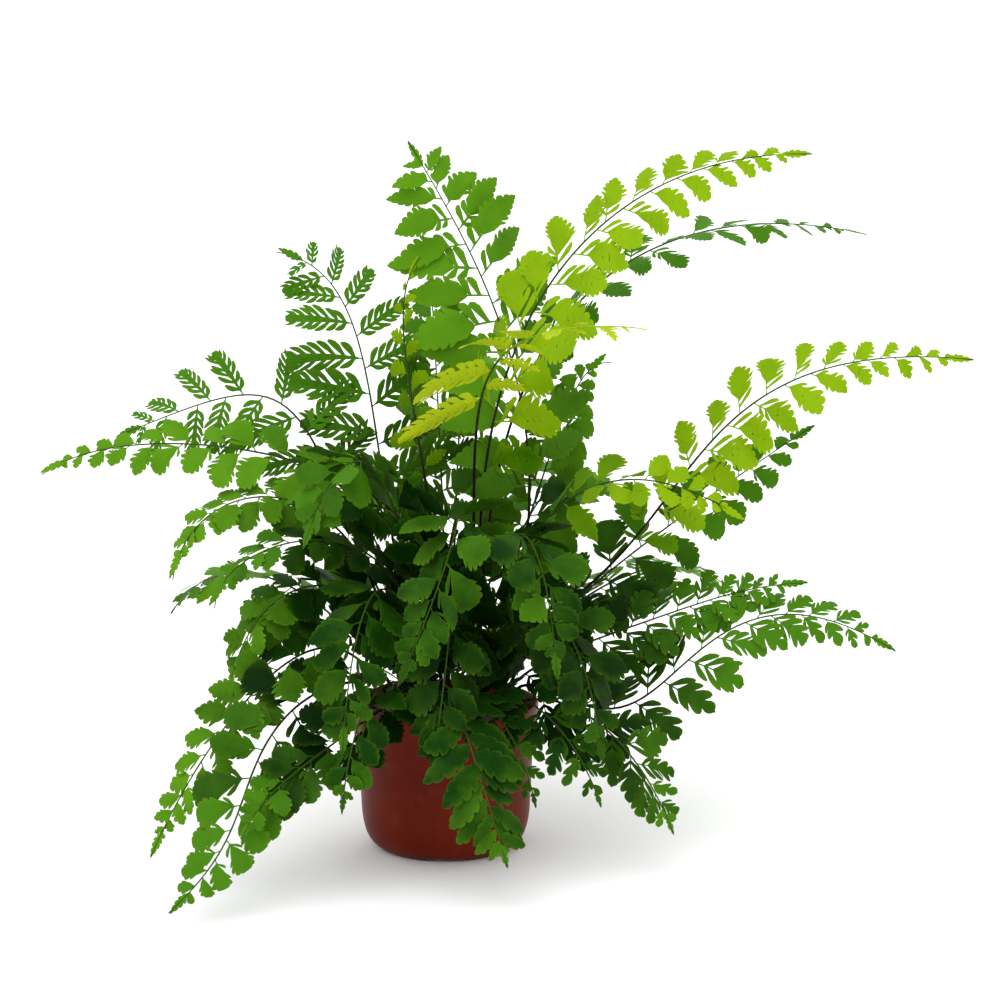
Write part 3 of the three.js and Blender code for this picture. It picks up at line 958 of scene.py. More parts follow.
# The least leaflet length for each tooth, finger or strap of a side
TEETH = (0, 7, 12, 19, 28, 40)
FINGERS = (0, 10, 22, 40)
FINE_STRAPS = (0, 0, 8, 14, 21, 29, 38)
KINDS = {
    Kind.BROAD: KindSizes(
        ScallopedForm(
            0.08, TEETH, free_from=18, shapes=(RHOMB_SIDE, FAN_SIDE), first_cut=(0.35, 0.6), last_cut=0.22
        ),
        lean=60, width=0.64, fill=2.6, uneven=0.1, full=2.2, spread=20, tilt=36,
    ),
    Kind.FAN: KindSizes(
        ScallopedForm(
            0.07, TEETH, free_from=14, free_count=2, free_reach=0.8, shapes=(FAN_SIDE, RHOMB_SIDE),
            first_cut=(0.5, 0.85), last_cut=0.28,
        ),
        lean=52, width=0.58, fill=2.4, uneven=0.14, full=1.6, spread=14,
    ),
    Kind.LANCE: KindSizes(
        ScallopedForm(
            0.05, TEETH, free_from=20, free_count=2, free_lean=58, free_room=0.12, free_reach=0.85,
            shapes=(LANCE_SIDE, RHOMB_SIDE), first_cut=(0.35, 0.6), last_cut=0.24,
        ),
        lean=72, width=0.4, fill=1.9, uneven=0.14, full=5.0, spread=8,
    ),
    Kind.SEATED: KindSizes(
        ScallopedForm(
            0.015, TEETH, free_from=math.inf, shapes=(ROUND_SIDE, LANCE_SIDE), plain=0.14,
            first_cut=(0.5, 0.75), last_cut=0.28,
        ),
        lean=62, width=0.44, fill=2.0, uneven=0.12, full=5.0, spread=8,
    ),
    Kind.WEDGE: KindSizes(
        ScallopedForm(
            0.09, TEETH, free_from=15, shapes=(FAN_SIDE, RHOMB_SIDE), first_cut=(0.4, 0.75), last_cut=0.26
        ),
        lean=52, width=0.66, fill=2.8, uneven=0.12, full=1.9, spread=16,
    ),
    Kind.LOBED: KindSizes(
        ScallopedForm(
            0.09, TEETH, free_from=18, free_count=2, free_room=0.14, free_below=1.0, free_reach=0.8,
            shapes=(FAN_SIDE, ROUND_SIDE), first_cut=(0.3, 0.5), last_cut=0.18,
        ),
        lean=58, width=0.6, fill=1.8, uneven=0.05, full=2.2, spread=12,
    ),
    Kind.COMB: KindSizes(
        ScallopedForm(
            0.05, FINGERS, free_from=12, free_count=3, free_room=0.165, free_lean=42, free_below=1.0,
            free_reach=1.0, free_shape=SPOON, shapes=(FAN_SIDE, RHOMB_SIDE), plain=0.24,
            first_cut=(0.7, 0.9), last_cut=0.5, fan=1.1,
        ),
        lean=50, width=0.5, fill=1.9, uneven=0.05, full=2.0, spread=16,
    ),
    Kind.FEATHER: KindSizes(
        CombForm(
            0.05, FINE_STRAPS, lean=(46, 32), cut=(0.88, 0.5), reach=(0.86, 1.0, 0.62), widest=0.4, tip=0.16
        ),
        lean=66, width=0.36, fill=1.3, uneven=0.03, full=3.4, spread=6,
    ),
    Kind.TASSEL: KindSizes(
        CombForm(0.03, FINE_STRAPS, cut=(0.6, 0.36), reach=(0.9, 1.0, 0.6), widest=0.3),
        lean=38, width=0.27, fill=1.9, uneven=0.04, full=1.0, spread=66, tilt=14, far_side=0.45,
    ),
}
END_FORM = ScallopedForm(
    stalk=0.0, lengths=(0, 5, 8, 12, 16, 20), free_from=math.inf, shapes=(LANCE_SIDE, RHOMB_SIDE), plain=0.08,
    first_cut=(0.5, 0.8), last_cut=0.4,
)


@dataclass(frozen=True)
class Blade:
    """One leaflet in its place: a bent blade with a frame at its seat on the rib.

    rows are the outlines of its left and right side. droop, fold, curl, ripple and twist bend it
    in its own frame, as shares of its length or width, and sag lets its end hang. shares are how
    far across each side its columns of points lie, and half_wide is where the curl is full.
    """

    place: np.ndarray
    ahead: np.ndarray
    beside: np.ndarray
    out: np.ndarray
    length: float
    rows: tuple[np.ndarray, np.ndarray]
    droop: float
    fold: float
    curl: float
    ripple: float
    phase: float
    twist: float
    sag: float = 0.0
    half_wide: float = 0.3
    waves: float = 9.0
    sides_apart: float = 0.8
    widest_wave: float = 1.2
    middle_thickness: float = 0.24
    side_thickness: float = 0.17
    shares: tuple[float, ...] = (1.0, 0.5, 0.0, 0.5, 1.0)

    def flat(self) -> np.ndarray:
        """Return the blade's points laid flat, as (row, column, 2), in millimetres."""
        left, right = self.rows
        columns = []
        for k, share in enumerate(self.shares):
            side, rows = (1, left) if k < len(self.shares) // 2 else (-1, right)
            along = rows[:, 0] + (rows[:, 1] - rows[:, 0]) * share
            columns.append(np.stack([along, side * rows[:, 2] * share], axis=-1))
        return np.stack(columns, axis=1) * self.length

    def middle(self, flat: np.ndarray) -> np.ndarray:
        """Bend the flat blade.

        Args:
            flat: Places on the flat blade, as (..., 2).

        Returns:
            The same places in space, half way through the blade.
        """
        along, across = flat[..., 0], flat[..., 1]
        share = along / self.length
        wide = np.abs(across) / (self.length * self.half_wide)
        rise = -self.droop * self.length * share**2
        rise += self.fold * np.abs(across) - self.curl * self.length * wide**2
        wave = np.sin(share * self.waves + self.phase + np.sign(across) * self.sides_apart)
        rise += self.ripple * self.length * wave * np.minimum(wide, self.widest_wave)
        rise += self.twist * across * share
        parts = ((along, self.ahead), (across, self.beside), (rise, self.out))
        down = np.array([0, 0, -self.sag * self.length]) * share[..., None] ** 2
        return self.place + down + sum(size[..., None] * way for size, way in parts)

    def add_to(self, sheaf: Sheaf, sheet: MapSheet, cell: int, draw: float, along: float) -> None:
        """Add the blade to a piece as a closed shell that thins out to its edge.

        Args:
            sheaf: The piece.
            sheet: The piece's flat map, where the blade takes this cell and the next.
            cell: The number of the cell.
            draw: How light the blade is, a random tone with painted shade deep inside the plant, which its
                colour follows.
            along: Where on the frond it stands, as a share.
        """
        flat = self.flat()
        middle = self.middle(flat)
        rows, columns = flat.shape[:2]
        shares = np.array(self.shares)
        thick = np.where(shares == 0, self.middle_thickness, self.side_thickness) * (shares < 1)
        thick = np.broadcast_to(thick, (rows, columns)).copy()
        thick[[0, -1]] = 0
        rim = thick == 0
        near_vein = np.maximum(np.minimum(self.rows[0][:, 3], 1)[:, None] * (shares > 0), shares == 0)
        marks = np.zeros((rows, columns, 4))
        # The first mark is the blade's lightness, painted shade deep inside the plant included.
        marks[..., 0], marks[..., 1], marks[..., 2], marks[..., 3] = draw, near_vein, rim, along
        over = middle + thick[..., None] * self.out
        under = middle - thick[..., None] * self.out
        top = np.arange(rows * columns).reshape(rows, columns)
        first = sheaf.add_points(over.reshape(-1, 3), marks.reshape(-1, 4))
        low = top.copy()
        low[~rim] = rows * columns + np.arange((~rim).sum())
        sheaf.add_points(under[~rim], marks[~rim])
        spots = flat.reshape(-1, 2)
        faces = grid_faces(top)
        sheaf.add_faces(faces[:, ::-1] + first, sheet.put(cell, spots)[faces[:, ::-1]])
        bottom = grid_faces(low)
        sheaf.add_faces(bottom + first, sheet.put(cell + 1, spots)[faces])


# Fronds


@dataclass(frozen=True)
class FrondSpec:
    """One frond: the line that its solid has too, and the leaflets that it shows.

    root is where the stem leaves the soil, pairs is how many pairs of leaflets it has, longest is
    the longest of them, roll turns it about its own rib, bare is the share of its line that
    carries no leaflets, and pulls are the points that draw its line, the last of them its tip.
    """

    name: str
    kind: Kind
    age: Age
    root: tuple[float, float]
    pairs: int
    longest: float
    roll: float
    bare: float
    pulls: tuple[Point, ...]


BROAD, FAN, LANCE, SEATED, WEDGE, LOBED, COMB, FEATHER, TASSEL = Kind
OLD, MID, BRIGHT, YOUNG = Age

FRONDS = (
    # Left side, from the top down
    FrondSpec("left_feather", FEATHER, OLD, (-6, 16), 9, 54, -62, 0.36, (
        (-45, 20, 196), (-46, 26, 293), (-45, 30, 373), (-108, 30, 383),
    )),
    FrondSpec("left_comb", FEATHER, OLD, (-13, 11), 8, 46, -66, 0.4, (
        (-73, 13, 217), (-89, 17, 317), (-102, 20, 310), (-212, 20, 265),
    )),
    FrondSpec("left_long", WEDGE, MID, (-15, -3), 13, 35, -48, 0.32, (
        (20, -7, 232), (-35, -16, 252), (-190, -29, 295), (-251, -40, 250),
    )),
    FrondSpec("left_arch", WEDGE, MID, (-22, -9), 14, 34, -44, 0.26, (
        (-37, -17, 214), (-85, -35, 265), (-160, -52, 247), (-168, -60, 187),
    )),
    FrondSpec("left_bow", WEDGE, OLD, (-18, -17), 12, 33, -40, 0.24, (
        (-12, -34, 208), (-48, -60, 232), (-136, -83, 221), (-139, -92, 176),
    )),
    FrondSpec("left_low", WEDGE, MID, (-27, -4), 14, 35, -36, 0.2, (
        (-35, -15, 206), (-120, -45, 200), (-135, -52, 114),
    )),
    FrondSpec("left_sweep", WEDGE, MID, (-29, -14), 12, 33, -40, 0.22, (
        (-64, -30, 165), (-89, -62, 159), (-143, -96, 107), (-179, -112, 24),
    )),
    FrondSpec("front_left_long", LOBED, OLD, (-20, -26), 10, 38, -36, 0.28, (
        (-30, -44, 150), (-133, -80, 126), (-119, -114, 70), (-107, -148, 55), (-160, -182, 12),
    )),
    FrondSpec("front_left_short", WEDGE, OLD, (-16, -31), 10, 36, -30, 0.24, (
        (-20, -48, 140), (-40, -85, 89), (-106, -123, 88), (-118, -160, 50),
    )),
    # Top and right side, from the top down
    FrondSpec("top", LANCE, MID, (12, 4), 13, 60, -70, 0.36, (
        (89, 2, 214), (56, 1, 333), (1, 0, 414), (-22, 0, 455),
    )),
    FrondSpec("top_behind", LANCE, OLD, (0, 19), 14, 48, -60, 0.2, (
        (0, 30, 250), (-10, 50, 350), (-10, 70, 372),
    )),
    FrondSpec("top_thin", FAN, BRIGHT, (-4, -11), 7, 24, 70, 0.5, (
        (4, -16, 196), (-18, -24, 288), (-40, -30, 355), (-14, -30, 385),
    )),
    FrondSpec("right_high", FAN, BRIGHT, (22, -3), 15, 50, 62, 0.34, (
        (20, -4, 240), (16, -23, 322), (76, -41, 454), (224, -60, 450),
    )),
    FrondSpec("right_edge", FAN, OLD, (23, 12), 13, 38, 12, 0.44, (
        (16, 14, 311), (74, 26, 403), (189, 40, 413), (272, 46, 393),
    )),
    FrondSpec("young", TASSEL, YOUNG, (16, -12), 8, 72, -3, 0.59, (
        (28, -26, 320), (-10, -62, 337), (84, -103, 357), (122, -128, 351),
    )),
    FrondSpec("right_long", FAN, BRIGHT, (29, -1), 13, 38, 58, 0.36, (
        (48, -5, 190), (188, -11, 155), (107, -18, 310), (231, -24, 331), (331, -30, 321),
    )),
    FrondSpec("right_dark", LOBED, OLD, (35, 5), 12, 38, 62, 0.13, (
        (54, 7, 150), (111, 8, 182), (177, 9, 236), (237, 10, 274),
    )),
    FrondSpec("right_middle", BROAD, BRIGHT, (21, -18), 13, 34, 40, 0.2, (
        (38, -32, 250), (110, -70, 280), (185, -80, 228),
    )),
    FrondSpec("right_comb", COMB, OLD, (32, -5), 13, 38, 56, 0.14, (
        (46, -8, 140), (136, -15, 137), (158, -23, 177), (230, -30, 179),
    )),
    FrondSpec("right_low", COMB, OLD, (38, -17), 12, 40, 60, 0.18, (
        (48, -21, 165), (112, -26, 40), (140, -30, 62), (144, -35, 226), (285, -40, 137),
    )),
    FrondSpec("right_hanging", COMB, OLD, (31, -28), 8, 37, 44, 0.24, (
        (55, -44, 128), (115, -75, 108), (143, -90, 32),
    )),
    FrondSpec("front_right_low", COMB, MID, (15, -33), 6, 34, 34, 0.2, (
        (30, -60, 140), (80, -100, 112), (97, -112, 56),
    )),
    FrondSpec("front_right_small", COMB, MID, (7, -36), 6, 30, 30, 0.14, (
        (18, -66, 132), (48, -108, 106), (57, -120, 58),
    )),
    # Middle, towards the viewer
    FrondSpec("front_pot", SEATED, MID, (-1, -37), 13, 35, 6, 0.13, (
        (-2, -80, 150), (12, -140, 124), (40, -152, 30),
    )),
    FrondSpec("front_left_pot", BROAD, MID, (-8, -37), 9, 34, -20, 0.13, (
        (-22, -78, 150), (-54, -122, 142), (-60, -134, 58),
    )),
    FrondSpec("middle_left", BROAD, OLD, (-9, -14), 14, 52, -18, 0.2, (
        (-20, -36, 240), (-50, -80, 324), (-84, -98, 214),
    )),
    FrondSpec("middle", BROAD, MID, (4, -20), 14, 46, 6, 0.16, (
        (-14, -48, 246), (44, -112, 292), (-26, -136, 138),
    )),
    FrondSpec("middle_right", BROAD, MID, (14, -22), 14, 46, 16, 0.16, (
        (28, -50, 236), (60, -108, 272), (70, -122, 138),
    )),
    FrondSpec("middle_low_left", BROAD, MID, (-12, -23), 13, 44, -12, 0.12, (
        (-25, -52, 212), (-52, -108, 222), (-60, -124, 92),
    )),
    FrondSpec("middle_low", BROAD, OLD, (2, -29), 15, 44, -4, 0.1, (
        (5, -62, 190), (10, -112, 196), (-6, -128, 78),
    )),
    FrondSpec("middle_low_right", BROAD, OLD, (21, -27), 14, 44, 18, 0.1, (
        (40, -52, 190), (84, -98, 204), (98, -112, 84),
    )),
    FrondSpec("middle_feather", LOBED, MID, (15, 17), 13, 36, 58, 0.24, (
        (42, 27, 181), (74, 38, 250), (77, 48, 313), (108, 52, 309),
    )),
    # Back, away from the viewer
    FrondSpec("back_high", BROAD, MID, (4, 29), 11, 44, -6, 0.2, (
        (4, 60, 240), (12, 130, 330), (14, 200, 296),
    )),
    FrondSpec("back_right", BROAD, OLD, (18, 25), 11, 44, 8, 0.18, (
        (40, 60, 220), (90, 140, 260), (120, 200, 186),
    )),
    FrondSpec("back_left", BROAD, OLD, (-14, 25), 11, 44, -8, 0.18, (
        (-40, 60, 215), (-90, 135, 250), (-120, 190, 180),
    )),
    FrondSpec("back_right_low", COMB, MID, (30, 18), 9, 44, 12, 0.24, (
        (70, 45, 160), (160, 90, 200), (205, 120, 130),
    )),
    FrondSpec("back_left_low", BROAD, MID, (-28, 17), 11, 44, -12, 0.2, (
        (-70, 40, 160), (-150, 85, 195), (-190, 112, 128),
    )),
    FrondSpec("back_low", BROAD, OLD, (3, 38), 11, 44, 0, 0.16, (
        (15, 80, 140), (35, 160, 150), (48, 205, 62),
    )),
)


def pulled(ends: np.ndarray, shares: np.ndarray) -> np.ndarray:
    """Find points of the smooth line from the first of some points to the last.

    Args:
        ends: The points, one row each. The line is drawn towards each of those in the middle.
        shares: How far along the line the points wanted are, from 0 to 1.

    Returns:
        The points, one row each.
    """
    rows = np.repeat(ends[:, None], len(shares), axis=1)
    while len(rows) > 1:
        rows = rows[:-1] + (rows[1:] - rows[:-1]) * shares[:, None]
    return rows[0]


class Rachis:
    """The line of a frond's stem and rib, with a frame at each distance along it."""

    steps = 240

    def __init__(self, spec: FrondSpec, foot_height: float) -> None:
        """Measure the line.

        Args:
            spec: The frond.
            foot_height: Where the soil's top is at the frond's root.
        """
        ends = np.array([(*spec.root, foot_height), *spec.pulls], float)
        shares = np.linspace(0, 1, self.steps + 1)
        self.points = pulled(ends, shares)
        slopes = pulled(np.diff(ends, axis=0), shares)
        self.tangents = unit(slopes)
        self.reached = np.concatenate([[0], np.cumsum(np.linalg.norm(np.diff(self.points, axis=0), axis=1))])
        self.length = float(self.reached[-1])
        heading = ends[-1] - ends[0]
        level = np.array([-heading[1], heading[0], 0.0])
        self.level = level / np.linalg.norm(level)
        self.roll = math.radians(spec.roll)

    def at(self, distances: np.ndarray) -> tuple[np.ndarray, np.ndarray, np.ndarray, np.ndarray]:
        """Find the frames at some distances along the line.

        Args:
            distances: The distances. One below zero lies straight below the foot.

        Returns:
            The places, and the directions along the line, across it and out of the upper face.
        """
        place, slope = (
            np.stack([np.interp(distances, self.reached, column) for column in known.T], axis=-1)
            for known in (self.points, self.tangents)
        )
        along = unit(slope)
        place = place + along * np.minimum(distances, 0)[:, None]
        level = unit(self.level - (along @ self.level)[:, None] * along)
        up = np.cross(along, level)
        across = level * math.cos(self.roll) + up * math.sin(self.roll)
        return place, along, across, np.cross(along, across)


class Crowd:
    """Remembers where leaflets are, in small cubes of space, so that new ones keep clear."""

    cube = 2.6
    lowest = 3.0

    def __init__(self) -> None:
        """Start empty."""
        self.taken: dict[tuple[int, int, int], int] = {}

    def _keys(self, points: np.ndarray) -> list[tuple[int, int, int]]:
        """Return the cube that each point lies in."""
        return [tuple(key) for key in np.floor(points / self.cube).astype(int).tolist()]

    def add(self, points: np.ndarray, owner: int) -> None:
        """Take the cubes at these points.

        Args:
            points: The points, one row each.
            owner: The number of what they belong to.
        """
        for key in self._keys(points):
            self.taken.setdefault(key, owner)

    def crossed(self, points: np.ndarray, owners: set[int]) -> float:
        """Find how much of something lies where something else is.

        Args:
            points: Its points, one row each.
            owners: The numbers of what it may touch.

        Returns:
            The share of its points in the way, or far more when one is too near the floor.
        """
        if points[:, 2].min() < self.lowest:
            return math.inf
        met = (self.taken.get(key, NOBODY) for key in self._keys(points))
        return sum(owner not in owners | {NOBODY} for owner in met) / len(points)


@dataclass
class Frond:
    """One frond: its stem, its rib and its leaflets, in one piece.

    The stem's sizes are its radii at the foot, past the foot, where the blade starts and at the
    tip. Leaflets stand closer together and get shorter towards the tip, and forward is how much
    further the last ones lean that way. short_wider makes short ones wider. Those inside the
    plant's heart, an egg-shaped room of this place and size, get painted shade and are the darkest,
    and the painted shade fades towards the outside. The ranges are what a leaflet's own draws lie
    between, and tries are the ways in which it may be lifted, turned and shortened until it crosses
    no other.
    """

    spec: FrondSpec
    number: int
    soil_height: float
    root_depth: float = 9.0
    foot_length: float = 12.0
    foot_radius: float = 1.45
    stem_radius: float = 1.3
    blade_radius: float = 0.85
    tip_radius: float = 0.34
    sides: int = 8
    groove: float = 0.72
    wobble: float = 0.05
    wobble_rate: float = 0.9
    ring_step: float = 5.0
    map_strips: int = 8
    strip_fill: float = 0.9
    green_from: float = 0.45
    first_step: float = 0.35
    side_step: float = 0.2
    spare_steps: float = 0.3
    taper: float = 1.35
    foot_share: float = 0.78
    foot_rise: float = 1.4
    blunt: float = 0.6
    least_length: float = 5.0
    short_wider: float = 3.0
    forward: float = 16.0
    may_touch: float = 0.12
    # Painted shade: leaflets inside this egg-shaped room are painted darker, for the shade deep in the
    # foliage.
    heart: Point = (8, -50, 120)
    heart_size: Point = (96, 104, 112)
    painted_shade_rate: float = 1.25
    step_draw: Range = (-0.08, 0.08)
    length_draw: Range = (0.88, 1.08)
    width_draw: Range = (0.85, 1.15)
    tone_draw: Range = (-0.28, 0.36)
    lean_draw: Range = (-9, 9)
    droop_draw: Range = (0.2, 1.4)
    fold_draw: Range = (-0.02, 0.22)
    curl_draw: Range = (0.0, 0.05)
    ripple_draw: Range = (0.004, 0.022)
    phase_draw: Range = (0, 6.3)
    twist_draw: Range = (-0.5, 0.5)
    sag_draw: Range = (0.02, 0.16)
    droop: float = 0.16
    end_share: float = 0.09
    end_lengths: Range = (8, 18)
    end_overlap: float = 0.75
    end_width: float = 0.17
    tries: tuple[Point, ...] = (
        (0, 0, 1), (9, 0, 1), (-9, 0, 1), (18, 6, 1), (-18, 6, 1), (9, -9, 1), (-9, -9, 1),
        (27, 0, 0.95), (-27, 0, 0.95), (0, 0, 0.8), (14, 0, 0.8), (-14, 0, 0.8), (0, 10, 0.62),
    )
    kind: KindSizes = field(init=False)
    line: Rachis = field(init=False)
    draw: np.random.Generator = field(init=False)
    blade_start: float = field(init=False)
    blade_length: float = field(init=False)
    end_length: float = field(init=False)

    def __post_init__(self) -> None:
        """Measure the frond's line and seed its draws."""
        self.kind = KINDS[self.spec.kind]
        self.line = Rachis(self.spec, self.soil_height)
        self.draw = np.random.default_rng(FIRST_SEED + self.number)
        self.blade_start = self.line.length * self.spec.bare
        self.blade_length = self.line.length - self.blade_start
        shortest, longest = self.end_lengths
        self.end_length = min(max(self.blade_length * self.end_share, shortest), longest)

    @property
    def owner(self) -> int:
        """Return the number that stands for this frond's rib in a crowd."""
        return self.number * OWNERS_EACH

    def claim_line(self, crowd: Crowd) -> None:
        """Take the room of the stem and rib, so that no leaflet of another frond grows there."""
        crowd.add(self.line.at(np.arange(0, self.line.length, Crowd.cube))[0], self.owner)

    def build(self, crowd: Crowd, materials: Sequence[bpy.types.Material]) -> bpy.types.Object:
        """Build the frond.

        Args:
            crowd: What already has its place.
            materials: The finish of its leaflets and that of its stem.

        Returns:
            The piece, which replaces the frond's solid.
        """
        sheaf = Sheaf()
        blades = self._blades(crowd)
        sheet = MapSheet(2 * len(blades) + 1)
        for k, (blade, share) in enumerate(blades):
            blade.add_to(sheaf, sheet, 2 * k, self._tone_and_painted_shade(blade.place), share)
        self._add_stem(sheaf, sheet, 2 * len(blades))
        piece = sheaf.to_object(f"fern_{self.spec.name}", materials, sharp=75)
        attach(piece, "root")
        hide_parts(f"frond_{self.spec.name}")
        LOG.info("%s: %d leaflets, %d triangles", piece.name, len(blades), sheaf.triangles())
        return piece

    def _tone_and_painted_shade(self, place: np.ndarray) -> float:
        """Return how light a leaflet is: painted shade, from 0 deep inside the plant to 1 at the outside,
        with a random tone on top.
        """
        outside = np.linalg.norm((place - self.heart) / self.heart_size)
        return float(np.clip((outside - 1) * self.painted_shade_rate + self.draw.uniform(*self.tone_draw), 0, 1))

    def _radius(self, distances: np.ndarray) -> np.ndarray:
        """Return the stem's radius at some distances along it."""
        stops = (-self.root_depth, 0, self.foot_length, self.blade_start, self.line.length)
        radii = (self.foot_radius, self.foot_radius, self.stem_radius, self.blade_radius, self.tip_radius)
        return np.interp(distances, stops, radii)

    def _add_stem(self, sheaf: Sheaf, sheet: MapSheet, cell: int) -> None:
        """Add the stem and rib as one tapering tube with a groove along its upper face.

        Args:
            sheaf: The piece.
            sheet: Its flat map.
            cell: The cell that the tube takes.
        """
        length = self.line.length
        rings = int((length + self.root_depth) / self.ring_step)
        distances = np.linspace(-self.root_depth, length, rings)
        place, _, across, out = self.line.at(distances)
        turns = all_round(self.sides)
        groove = np.where(np.isclose(np.sin(turns), 1), self.groove, 1.0)
        radius = self._radius(distances)[:, None] * groove
        wobble = 1 + self.wobble * np.sin(distances[:, None] * self.wobble_rate + turns * 2)
        ring = np.cos(turns)[None, :, None] * across[:, None] + np.sin(turns)[None, :, None] * out[:, None]
        points = place[:, None] + ring * (radius * wobble)[..., None]
        share = np.interp(distances, (0, self.blade_start, length), (0, self.green_from, 1))
        marks = np.zeros((rings, self.sides, 4))
        marks[..., 3] = share[:, None]
        flat = self._stem_map(rings, sheet, cell)
        sheaf.add_tube(points, marks, flat, (flat[0, 0], flat[-1, -1]), slot=1)

    def _stem_map(self, rings: int, sheet: MapSheet, cell: int) -> np.ndarray:
        """Lay the tube's faces flat, folded into as many strips as fit the cell.

        Args:
            rings: How many rings the tube has.
            sheet: The piece's flat map.
            cell: The cell that the tube takes.

        Returns:
            The place of each face's corners, as (face, corner, 2).
        """
        strips = self.map_strips
        per_strip = math.ceil((rings - 1) / strips)
        row, column = np.divmod(np.arange((rings - 1) * self.sides), self.sides)
        strip, step = np.divmod(row, per_strip)
        low = np.stack([step / per_strip, (strip + self.strip_fill * column / self.sides) / strips], axis=-1)
        size = np.array([1 / per_strip, self.strip_fill / self.sides / strips])
        corners = np.array([(0, 0), (1, 0), (1, 1), (0, 1)])
        return sheet.put(cell, low[:, None] + corners * size)

    def _blades(self, crowd: Crowd) -> list[tuple[Blade, float]]:
        """Find a clear place for every leaflet.

        Args:
            crowd: What already has its place.

        Returns:
            The leaflets, each with where it stands on the frond, as a share.
        """
        placed = []
        reach = self.blade_length - self.end_length * self.end_overlap
        for k in range(self.spec.pairs):
            for side in (-1, 1):
                step = k + self.first_step + self.side_step * side + self.draw.uniform(*self.step_draw)
                share = self._share(step)
                length = self._length(share, side)
                seat = self.blade_start + reach * share
                spacing = reach * (self._share(step + 1) - share)
                owner = self.owner + 1 + 2 * k + (side > 0)
                placed.append((self._clear_blade(crowd, seat, side, length, spacing, owner), share))
        placed.append((self._end_blade(), 1.0))
        return placed

    def _share(self, step: float) -> float:
        """Return how far along the blade a leaflet stands that is this many steps from its foot."""
        last = self.spec.pairs + self.spare_steps
        return 1 - (1 - min(step, last) / last) ** self.taper

    def _length(self, share: float, side: int) -> float:
        """Draw a leaflet's length.

        Args:
            share: How far along the blade it stands.
            side: 1 for the left side and -1 for the right.

        Returns:
            The length.
        """
        length = self.spec.longest * min(1, self.foot_share + self.foot_rise * share)
        length *= (1 - share**self.kind.full) ** self.blunt
        length *= self.draw.uniform(*self.length_draw) * (self.kind.far_side if side > 0 else 1)
        return max(length, self.least_length)

    def _clear_blade(
        self, crowd: Crowd, seat: float, side: int, length: float, spacing: float, owner: int
    ) -> Blade:
        """Turn, lift or shorten a leaflet until it is clear of the others.

        Args:
            crowd: What already has its place.
            seat: The leaflet's distance along the line.
            side: 1 for the left side and -1 for the right.
            length: Its length, if it finds room.
            spacing: The distance to the next leaflet on its side.
            owner: The number that stands for it in the crowd.

        Returns:
            The leaflet that crosses the least.
        """
        state = self.draw.bit_generator.state
        best, best_crossed, best_points = None, None, None
        for pitch, turn, size in self.tries:
            self.draw.bit_generator.state = state
            blade = self._blade(seat, side, length * size, spacing, pitch, turn)
            # Its middle and edges, past the stalk's start in the rib
            points = blade.middle(blade.flat())[2:, ::2].reshape(-1, 3)
            crossed = crowd.crossed(points, {owner, self.owner})
            if best is None or crossed < best_crossed:
                best, best_crossed, best_points = blade, crossed, points
            if crossed <= self.may_touch:
                break
        crowd.add(best_points, owner)
        return best

    def _blade(
        self, seat: float, side: int, length: float, spacing: float, pitch: float, turn: float
    ) -> Blade:
        """Make one leaflet.

        Args:
            seat: Its distance along the line.
            side: 1 for the left side and -1 for the right.
            length: Its length.
            spacing: The distance to the next leaflet on its side.
            pitch: How far it is lifted out of the frond's face, in degrees.
            turn: How far it is turned away from the tip, in degrees.

        Returns:
            The leaflet.
        """
        draw = self.draw
        place, along, across, out = (part[0] for part in self.line.at(np.array([seat])))
        lift = math.radians(pitch + self.kind.tilt * draw.uniform(-1, 1))
        share = (seat - self.blade_start) / self.blade_length
        spread = self.kind.spread * (1 - share) - self.forward * share**2
        lean = math.radians(self.kind.lean + spread + turn + draw.uniform(*self.lean_draw))
        outward = side * across * math.cos(lift) + out * math.sin(lift)
        ahead = along * math.cos(lean) + outward * math.sin(lean)
        face = np.cross(along, outward) * side
        wide = self.kind.width * draw.uniform(*self.width_draw) * (1 + self.short_wider / length)
        width = min(wide, self.kind.fill * spacing * math.sin(lean) / length)
        form = self.kind.form
        upper, lower = (width * (0.5 + part * self.kind.uneven) for part in (1, -1))
        halves = (form.outline(length, upper, True, draw), form.outline(length, lower, False, draw))
        return Blade(
            place, ahead, np.cross(face, ahead), face, length, halves[::-side],
            droop=self.droop * draw.uniform(*self.droop_draw), fold=draw.uniform(*self.fold_draw),
            curl=draw.uniform(*self.curl_draw), ripple=draw.uniform(*self.ripple_draw),
            phase=draw.uniform(*self.phase_draw), twist=draw.uniform(*self.twist_draw),
            sag=draw.uniform(*self.sag_draw),
        )

    def _end_blade(self) -> Blade:
        """Return the leaflet at the frond's tip, in line with the rib."""
        length = self.end_length
        place, along, across, out = (part[0] for part in self.line.at(np.array([self.line.length - length])))
        halves = tuple(END_FORM.outline(length, self.end_width, False, self.draw) for _ in range(2))
        return Blade(
            place, along, across, out, length, halves,
            droop=0.05, fold=0.1, curl=0.02, ripple=0.01, phase=0.0, twist=0.0,
        )


# Pot and soil


